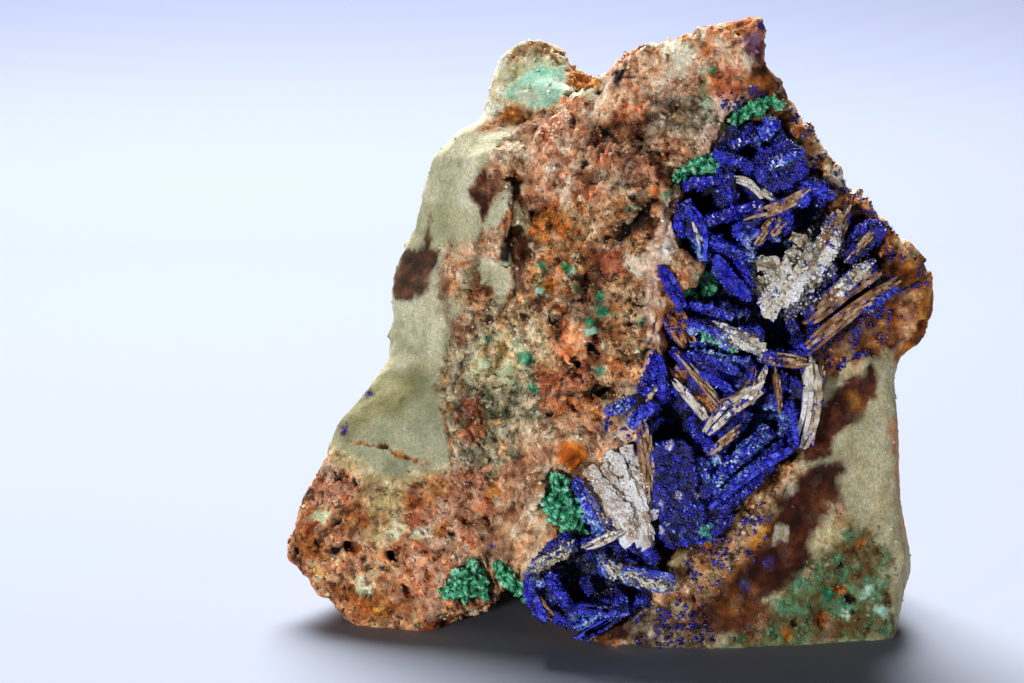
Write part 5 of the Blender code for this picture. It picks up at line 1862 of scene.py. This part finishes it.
@dataclass
class AzuriteCrust:
    """The crust of azurite-coated blades that lines the hollow, and the druse on it.

    Args:
        rock: the rock round the hollow, on which single crystals have strayed.
        blades: the bare blades, which the druse covers little.
        coated: the blades that it covers wholly.
        grain_mm: size of the crust's faces before thinning.
        triangles: most triangles that stay in the crust.
        lump_mm: size of its rounded lumps.
        lump_high: their height.
        swell_mm: spacing of its swells.
        swell_high: their height.
        block_mm: size of its tilted faces.
        block_high: their height.
        crystals: crystals in each of the druse's pieces.
        pieces: how many pieces hold the druse.
        smallest: smallest crystal.
        largest: largest crystal.
        lean: how far the crystals lean away from upright.
        tone: how much lighter or darker single crystals are, as a share of the palette.
        painted_glint: how much lighter the few crystals with a painted glint are.
        unglinted: share of the crystals that have no painted glint.
        seed: the seed of the first piece's scatter.
    """

    rock: HostRock
    blades: BaryteBlades
    coated: BaryteBlades
    grain_mm: float = 0.24
    triangles: int = 160000
    lump_mm: float = 0.9
    lump_high: float = 0.3
    swell_mm: float = 1.8
    swell_high: float = 0.22
    block_mm: float = 2.3
    block_high: float = 0.4
    crystals: int = 16400
    pieces: int = 4
    smallest: float = 0.17
    largest: float = 0.66
    lean: float = 0.55
    tone: float = 0.13
    painted_glint: float = 0.42
    unglinted: float = 0.955
    seed: int = 31
    piece: Piece | None = field(default=None, init=False)

    def colour_at(self, points: Array, crests: Array, luck: Array) -> Array:
        """Azurite's blue, with painted shade near black in the depths and gaps and painted highlight on the
        crests.

        Args:
            points: places.
            crests: how far they stand out of their surroundings.
            luck: each place's own shift towards the light end: random tone, and a painted glint on a few
                crystals.

        Returns:
            One linear colour for each place.
        """
        # Painted shade and highlight: darker deeper behind the rim and in the gaps, lighter towards the rim
        # and on the crests.
        height = smoothstep(5.0, -2.4, FACE.depth(points))
        place = 0.13 + 0.22 * height + 0.3 * crests + 0.12 * fractal(points, 2.6, 211, 2) + luck
        pixels = SIGHT.project(points)
        pale = share_inside(pixels, PALE_AZURITE, (-5.0, 4.0))
        blue = mix_colours(AZURITE_COLOURS, place + 0.1 * pale)
        sky = mix_colours(PALE_AZURITE_COLOURS, place + 0.32)
        paled = 0.85 * pale * smoothstep(-0.25, 0.2, fractal(points, 1.0, 233, 2))
        colours = blue + (sky - blue) * paled[:, None]
        sugared = 0.85 * share_inside(pixels, SUGARED) * smoothstep(-0.3, 0.2, fractal(points, 1.2, 269, 2))
        # The quartz-dusted ground is painted darker deeper in the hollow, as painted shade.
        dusty = mix_colours(SUGAR_BED, 0.4 + 0.6 * height + 0.4 * fractal(points, 0.9, 271, 2) - 0.3)
        colours += (dusty - colours) * sugared[:, None]
        ragged = 1.0 + 0.5 * swell(points, 0.6, 239)
        for across, down, radius, tint in CRUST_SPECKS:
            away = np.hypot(*(pixels - (across, down)).T) * ragged
            near = smoothstep(radius * 1.2, radius * 0.8, away) * (height > 0.3)
            colours += (row_of(tint) - colours) * near[:, None]
        return colours

    def build(self) -> None:
        """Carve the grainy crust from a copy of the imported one."""
        piece = merged_copy("azurite_crust", "azurite_crust_bed")
        remesh(piece, self.grain_mm)
        soften(piece, 2)
        mesh = piece.data
        points, normals = places_of(mesh), normals_of(mesh)
        height = (
            self.lump_high * (chips_at(points, self.lump_mm, 223).lumps() - 0.4)
            + self.swell_high * fractal(points, self.swell_mm, 227, 3)
            + self.block_high * chips_at(points, self.block_mm, 241).facets()
        )
        front = smoothstep(0.2, -0.2, normals[:, 1])
        move_to(mesh, points + normals * (height * front)[:, None])
        crests = carry_crests(piece, spread=50, scale_mm=0.45)
        carry_colour(mesh, self.colour_at(points, crests, np.full(len(points), -0.04)))
        carry_value(mesh, "grit", np.ones(len(points)))
        thin(piece, self.triangles)
        shade_smooth(piece.data, True)
        self.piece = piece

    def grow_druse(self) -> None:
        """Cover the crust, a little of the bare blades and specks of the rock with small crystals."""
        finish = AZURITE.make()
        bed, bare, coated, rock = (
            Ground.of(of.piece.data) for of in (self, self.blades, self.coated, self.rock)
        )
        bed_middles, bare_middles, rock_middles = bed.middles(), bare.middles(), rock.middles()
        # Crystals grow on what doesn't face back and lies near the rim, and fewer where quartz lies.
        seen = smoothstep(0.45, -0.1, bed.normals[:, 1]) * (FACE.depth(bed_middles) < 9.0)
        sugared = share_inside(SIGHT.project(bed_middles), SUGARED)
        bed_weight = seen * ~self.blades.covers(bed_middles, 0.35) * (1.0 - 0.7 * sugared)
        # On the bare blades and on the rock they grow in patches, and none on the white fan.
        patchy = smoothstep(0.15, 0.55, fractal(bare_middles, 2.6, 229, 3))
        fan = outline_depth(SIGHT.project(bare_middles), WHITE_FAN) > 0.0
        bare_weight = patchy * (bare.normals[:, 1] < 0.3) * ~fan * 0.9
        strayed = share_inside(SIGHT.project(rock_middles), STRAYED) * (rock.normals[:, 1] < 0.3)
        rock_weight = strayed * smoothstep(0.0, 0.35, fractal(rock_middles, 1.3, 251, 2)) * 1.5
        # The crests are raised on the blades and the rock, so the crystals there are painted lighter, as
        # painted highlight.
        ground = Ground.joined((bed, bare.raised(0.4), coated.raised(0.3), rock.raised(0.3)))
        weight = np.concatenate((bed_weight, bare_weight, (coated.normals[:, 1] < 0.3) * 0.8, rock_weight))
        for number in range(self.pieces):
            rng = np.random.default_rng(self.seed + number)
            places, outward, crests = ground.scatter(self.crystals, weight, rng)
            span = self.smallest + (self.largest - self.smallest) * rng.random(self.crystals) ** 2.4
            sizes = span[:, None] * rng.uniform((0.6, 0.4, 0.8), (1.0, 0.8, 1.5), (self.crystals, 3))
            upright = outward + rng.normal(0.0, self.lean, outward.shape)
            # Each crystal gets a random tone, and a few a painted glint.
            luck = rng.normal(0.0, self.tone, self.crystals)
            luck += self.painted_glint * (rng.random(self.crystals) > self.unglinted)
            colours = self.colour_at(places, crests, luck)
            lifted = places + outward * span[:, None] * 0.1
            name = f"azurite_druse_{number + 1}"
            druse = crystal_cloud(name, Habit.DOUBLE_POINT, lifted, upright, sizes, colours, rng)
            hand_over(druse, finish)

    def dress(self) -> None:
        """Give the crust its finish and its place on the frame."""
        hand_over(self.piece, AZURITE_BED.make(), ["azurite_crust"])


PALE_AZURITE_COLOURS = "#0c1440 #1e3a9c #3468d8 #5c98f0 #a8ccff #e8f2ff"
# Where the azurite is painted paler, in frame pixels.
PALE_AZURITE = outlines_of("""
570,496 590,492 606,524 600,540 580,530
572,616 600,606 626,610 628,644 590,646
528,566 546,560 548,580 530,590
596,556 680,580 676,596 610,580
700,470 770,404 792,420 740,480 716,492
690,236 706,238 722,300 748,316 736,326 704,300
744,236 778,236 776,262 748,262
768,162 798,150 802,156 772,171
753,142 772,122 780,128 760,147
684,326 740,334 760,356 728,364 690,346
612,392 632,392 634,424 612,424
""")
# White grains and one of turquoise in the druse: place and radius in frame pixels, and colour.
CRUST_SPECKS = (
    (669, 445, 4.0, "#c8c4e0"), (679, 495, 3.5, "#c9c0d8"), (661, 503, 3.0, "#b8b4e0"),
    (698, 495, 3.0, "#d8d0dc"), (659, 530, 4.5, "#c8c4e8"), (653, 545, 3.0, "#b8b8d8"),
    (705, 531, 6.0, "#6fd0c0"), (574, 560, 3.0, "#c8c0e8"), (746, 152, 3.0, "#a8a0e0"),
    (727, 178, 2.5, "#c8d0f8"), (702, 240, 3.0, "#a8c8ff"), (638, 470, 3.0, "#3c8cf0"),
)
# Where single azurite crystals stand on the rock, in frame pixels.
STRAYED = outlines_of("""
786,108 806,114 826,156 850,182 866,192 892,222 904,262 878,266 860,214 838,196 816,176 798,150
880,262 928,262 926,286 886,298
800,356 872,306 892,300 886,342 852,372 812,374
804,354 870,304 888,302 876,332 846,358 812,364
680,558 760,500 776,520 752,566 700,590
602,408 650,392 656,446 634,440 604,438
620,600 700,604 716,640 640,650
716,96 760,84 772,104 730,120
""")
# Small pale quartz grains, the blue and teal ones among them, and the ground under them, whose darker end is
# painted shade deep in the hollow.
SUGAR_COLOURS = "#6e563a #b8a280 #e2d8c4 #f6f2ea #ffffff"
BLUE_SUGAR_COLOURS = "#1c2c8c #3a64c8 #6ea0e0 #4c8088"
SUGAR_BED = "#2a2430 #4c4a54 #8a7c66 #b8a88c"


@dataclass
class SugarCoat:
    """Small pale quartz grains with blue ones among them, on the granular blades and the ledges.

    Args:
        blades: the bare blades that carry them.
        crust: the crust round these.
        count: how many.
        smallest: smallest one.
        largest: largest one.
        lean: how far they lean away from upright.
        clean_px: how far inside the white fan's outline no blue one lies.
        seed: the seed of their scatter.
    """

    blades: BaryteBlades
    crust: AzuriteCrust
    count: int = 12000
    smallest: float = 0.18
    largest: float = 0.5
    lean: float = 0.6
    clean_px: float = 3.0
    seed: int = 43

    def build(self) -> None:
        """Scatter the grains over the outlined places."""
        rng = np.random.default_rng(self.seed)
        ground = Ground.joined([Ground.of(of.piece.data) for of in (self.blades, self.crust)])
        middles = ground.middles()
        weight = share_inside(SIGHT.project(middles), SUGARED)
        weight *= (ground.normals[:, 1] < 0.2) * (FACE.depth(middles) < 4.0)
        places, outward, _ = ground.scatter(self.count, weight, rng)
        luck = rng.random(self.count)
        colours = mix_colours(SUGAR_COLOURS, 0.35 + 0.5 * luck + 0.55 * fractal(places, 1.8, 257, 2))
        clean = outline_depth(SIGHT.project(places), WHITE_FAN) > self.clean_px
        blue = (luck * 0.5 < 0.09 + 0.2 * swell(places, 2.4, 263)) & ~clean
        colours[blue] = mix_colours(BLUE_SUGAR_COLOURS, rng.random(self.count))[blue]
        span = rng.uniform(self.smallest, self.largest, self.count)
        sizes = span[:, None] * rng.uniform(0.7, 1.2, (self.count, 3))
        upright = outward + rng.normal(0.0, self.lean, outward.shape)
        coat = crystal_cloud("quartz_sugar", Habit.DOUBLE_POINT, places, upright, sizes, colours, rng)
        hand_over(coat, QUARTZ.make())


SUGARED = outlines_of("""
820,210 840,222 842,258 816,300 786,324 766,310 750,276 776,256 806,244
836,268 866,256 870,272 838,296
718,322 764,340 764,360 716,342
594,440 630,436 632,456 606,474 588,466
570,464 590,458 600,492 622,536 608,536 586,496
590,462 612,452 628,446 640,462 648,500 650,536 628,534 612,508 598,486
526,568 568,538 578,550 538,582
600,556 680,574 682,592 610,580
""")
# Brown stains on the blades.
BLADE_STAINS = outlines_of("""
606,498 616,490 634,508 644,534 630,540 612,518
582,474 600,462 606,484 602,500 614,522 602,524 590,500
630,440 644,440 648,470 640,476 634,462
640,516 652,512 654,544 644,546
""")
# The fan of clean white blades, on which no azurite grows.
WHITE_FAN = corners_of(
    "572,468 600,440 640,446 652,470 656,520 652,548 622,542 594,508",
)


# ---- Malachite ----

# Malachite's green, near black to mint; its dark end also stands for painted shade in gaps, its light end for
# painted highlight on crests.
MALACHITE_COLOURS = "#02100a #053c26 #0b6c42 #199a5e #3ec088 #86e2b4 #ccf6de"


@dataclass
class MalachiteTuft:
    """One growth of malachite: a lumpy body with short needles on it.

    Args:
        node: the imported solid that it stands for.
        shade: shift towards mint, or towards dark green below 0.
        grain_mm: size of its mesh's faces.
        lump_mm: size of its rounded lumps.
        grains: needles on each square millimetre.
        smallest: width of the smallest needle.
        largest: width of the largest.
        lean: how far they lean away from upright.
    """

    node: str
    shade: float
    grain_mm: float = 0.17
    lump_mm: float = 0.85
    grains: float = 11.0
    smallest: float = 0.14
    largest: float = 0.36
    lean: float = 0.6

    def colour_at(self, points: Array, luck: Array) -> Array:
        """Malachite's green, in bands of lighter and darker."""
        place = 0.44 + self.shade + 0.2 * fractal(points, 1.1, 307, 2) + luck
        return mix_colours(MALACHITE_COLOURS, place)

    def build(self, body_finish: bpy.types.Material, seed: int) -> None:
        """Build the growth's body and its needles.

        Args:
            body_finish: the material that all growths share.
            seed: the seed of the needles' scatter.
        """
        piece = merged_copy(self.node, self.node + "_body")
        remesh(piece, self.grain_mm)
        soften(piece, 4)
        mesh = piece.data
        points, normals = places_of(mesh), normals_of(mesh)
        lumps = chips_at(points, self.lump_mm, 311)
        height = 0.8 * (lumps.lumps() - 0.5) + 0.6 * fractal(points, 1.5, 313, 3) - 0.35
        move_to(mesh, points + normals * height[:, None])
        # Painted shade and highlight: darker in the gaps between lumps, lighter on the crests.
        carry_colour(mesh, self.colour_at(points, 0.4 * carry_crests(piece, spread=24, scale_mm=0.2)))
        shade_smooth(mesh, True)
        rng = np.random.default_rng(seed)
        ground = Ground.of(mesh)
        weight = (ground.normals[:, 1] < 0.4).astype(float)
        count = int(self.grains * (ground.areas * weight).sum())
        places, outward, crests = ground.scatter(count, weight, rng)
        span = rng.uniform(self.smallest, self.largest, count)
        sizes = span[:, None] * rng.uniform((0.6, 0.6, 1.0), (0.9, 0.9, 2.2), (count, 3))
        upright = outward + rng.normal(0.0, self.lean, outward.shape)
        # Random tone, with painted shade and highlight from the crests under each needle.
        colours = self.colour_at(places, rng.normal(0.04, 0.14, count) + 0.35 * crests)
        name = self.node + "_needles"
        grown = crystal_cloud(name, Habit.DOUBLE_POINT, places, upright, sizes, colours, rng)
        hand_over(piece, body_finish, [self.node])
        hand_over(grown, body_finish)


# The growths from the hollow's upper end to the base, each with its shade.
TUFT_SEED = 61
TUFTS = {
    "top": 0.0, "upper": 0.03, "middle": -0.16, "inner": 0.14, "lower": 0.02, "foot": 0.0, "arch": 0.0,
}


# ---- The studio ----


@dataclass(frozen=True)
class Studio:
    """A pale floor that sweeps up behind the specimen, under one large soft light.

    The light hangs above and a little behind, so the specimen's front is lit by the floor and by
    a weak fill, and its shadow lies dark on the floor before it. The studio's sizes are in metres.

    Args:
        paper: colours of the floor in front, behind the specimen and far behind, which make up for
            the light's own nearness there.
        reach: how far behind the specimen those colours lie.
        front: how far the floor reaches to the front and to the sides.
        bend_at: how far behind it begins to sweep up.
        bend: radius of the sweep.
        top: how high it goes.
        aim: height of the place that the lights look at.
        sky: colour of the light from all round.
        sky_power: its strength.
    """

    paper: str = "#9ba2b2 #7d8497 #545a70"
    reach: tuple[float, float, float] = (-0.05, 0.25, 0.75)
    front: tuple[float, float] = (1.2, 1.5)
    bend_at: float = 0.55
    bend: float = 0.35
    top: float = 1.6
    aim: float = 0.035
    sky: str = "#d8e4ff"
    sky_power: float = 0.015

    def build(self) -> None:
        """Make the backdrop, the lights, the world and the camera."""
        self.make_backdrop()
        self.make_light("overhead_softbox", (-0.09, 0.66, 0.70), 0.60, 31.0)
        self.make_light("front_fill", (-0.42, -0.60, 0.032), 0.06, 3.4)
        self.make_light("right_fill", (0.62, -0.42, 0.05), 0.10, 0.7)
        self.make_world()
        self.make_camera()

    def make_backdrop(self) -> None:
        """A sheet of matt paper, laid flat in front and swept up behind."""
        bm = bmesh.new()
        profile = [(-self.front[0], 0.0), (self.bend_at, 0.0)]
        for turn in np.linspace(0.2, math.pi / 2, 10):
            depth = self.bend_at + self.bend * math.sin(turn)
            profile.append((depth, self.bend - self.bend * math.cos(turn)))
        profile.append((self.bend_at + self.bend, self.top))
        verts = [bm.verts.new((-self.front[1], depth, height)) for depth, height in profile]
        edges = [bm.edges.new(pair) for pair in zip(verts[:-1], verts[1:])]
        swept = bmesh.ops.extrude_edge_only(bm, edges=edges)
        moved = [item for item in swept["geom"] if isinstance(item, bmesh.types.BMVert)]
        bmesh.ops.translate(bm, verts=moved, vec=(2.0 * self.front[1], 0.0, 0.0))
        bmesh.ops.recalc_face_normals(bm, faces=bm.faces)
        mesh = bpy.data.meshes.new("paper_sweep")
        bm.to_mesh(mesh)
        bm.free()
        sweep = add_object("paper_sweep", mesh)
        shade_smooth(mesh, True)
        paper = bpy.data.materials.new("matt_paper")
        paper.use_nodes = True
        tree = paper.node_tree
        shader = tree.nodes["Principled BSDF"]
        spot = add_node(tree, "SeparateXYZ", links={0: add_node(tree, "TexCoord").outputs["Object"]})
        first, *others = self.paper.split()
        tone = add_node(tree, "RGB").outputs["Color"]
        tone.default_value = linear(first)
        for colour, start, end in zip(others, self.reach[:-1], self.reach[1:]):
            share = add_node(tree, "MapRange", None, {"From Min": start, "From Max": end}, {
                "Value": spot.outputs["Y"],
            })
            tone = add_node(tree, "Mix", {"data_type": "RGBA"}, {7: linear(colour)}, {
                0: share.outputs["Result"], 6: tone,
            }).outputs[2]
        tree.links.new(tone, shader.inputs["Base Color"])
        shader.inputs["Roughness"].default_value = 0.9
        mesh.materials.append(paper)

    def make_light(self, name: str, place: tuple[float, float, float], size: float, power: float) -> None:
        """A square soft light that looks at the specimen."""
        light = bpy.data.lights.new(name, "AREA")
        light.shape = "SQUARE"
        light.size = size
        light.energy = power
        lamp = bpy.data.objects.new(name, light)
        lamp.location = place
        towards = Vector((0.0, 0.0, self.aim)) - Vector(place)
        lamp.rotation_euler = towards.to_track_quat("-Z", "Y").to_euler()
        bpy.context.scene.collection.objects.link(lamp)

    def make_world(self) -> None:
        """Even light from all round, a little blue."""
        world = bpy.data.worlds.new("studio_air")
        world.use_nodes = True
        air = world.node_tree.nodes["Background"]
        air.inputs["Color"].default_value = linear(self.sky)
        air.inputs["Strength"].default_value = self.sky_power
        bpy.context.scene.world = world

    def make_camera(self) -> None:
        """The front view's camera."""
        camera = bpy.data.cameras.new("camera")
        camera.lens = SIGHT.lens
        camera.sensor_width = SIGHT.sensor
        holder = bpy.data.objects.new("camera", camera)
        holder.location = Vector(SIGHT.eye()) * MM
        holder.rotation_euler = (math.radians(90.0 - SIGHT.elevation), 0.0, 0.0)
        bpy.context.scene.collection.objects.link(holder)
        bpy.context.scene.camera = holder


def main() -> None:
    logging.basicConfig(level=logging.INFO, format="%(name)s %(message)s")
    bpy.context.scene.view_settings.view_transform = "Standard"
    rock = HostRock()
    rock.build()
    rock.dress()
    RockGrains(rock).build()
    blades = BaryteBlades("baryte_blades", BLADES)
    blades.build()
    coated = BaryteBlades("azurite_coated_blades", COATED, sheets=3, fray=0.35, groove=0.15)
    coated.build()
    crust = AzuriteCrust(rock, blades, coated)
    crust.build()
    crust.grow_druse()
    crust.dress()
    hand_over(blades.piece, BARYTE.make())
    hand_over(coated.piece, AZURITE.make())
    SugarCoat(blades, crust).build()
    green = MALACHITE.make()
    for number, (place, shade) in enumerate(TUFTS.items()):
        MalachiteTuft("malachite_tuft_" + place, shade).build(green, TUFT_SEED + number)
    Studio().build()


if __name__ == "__main__":
    main()
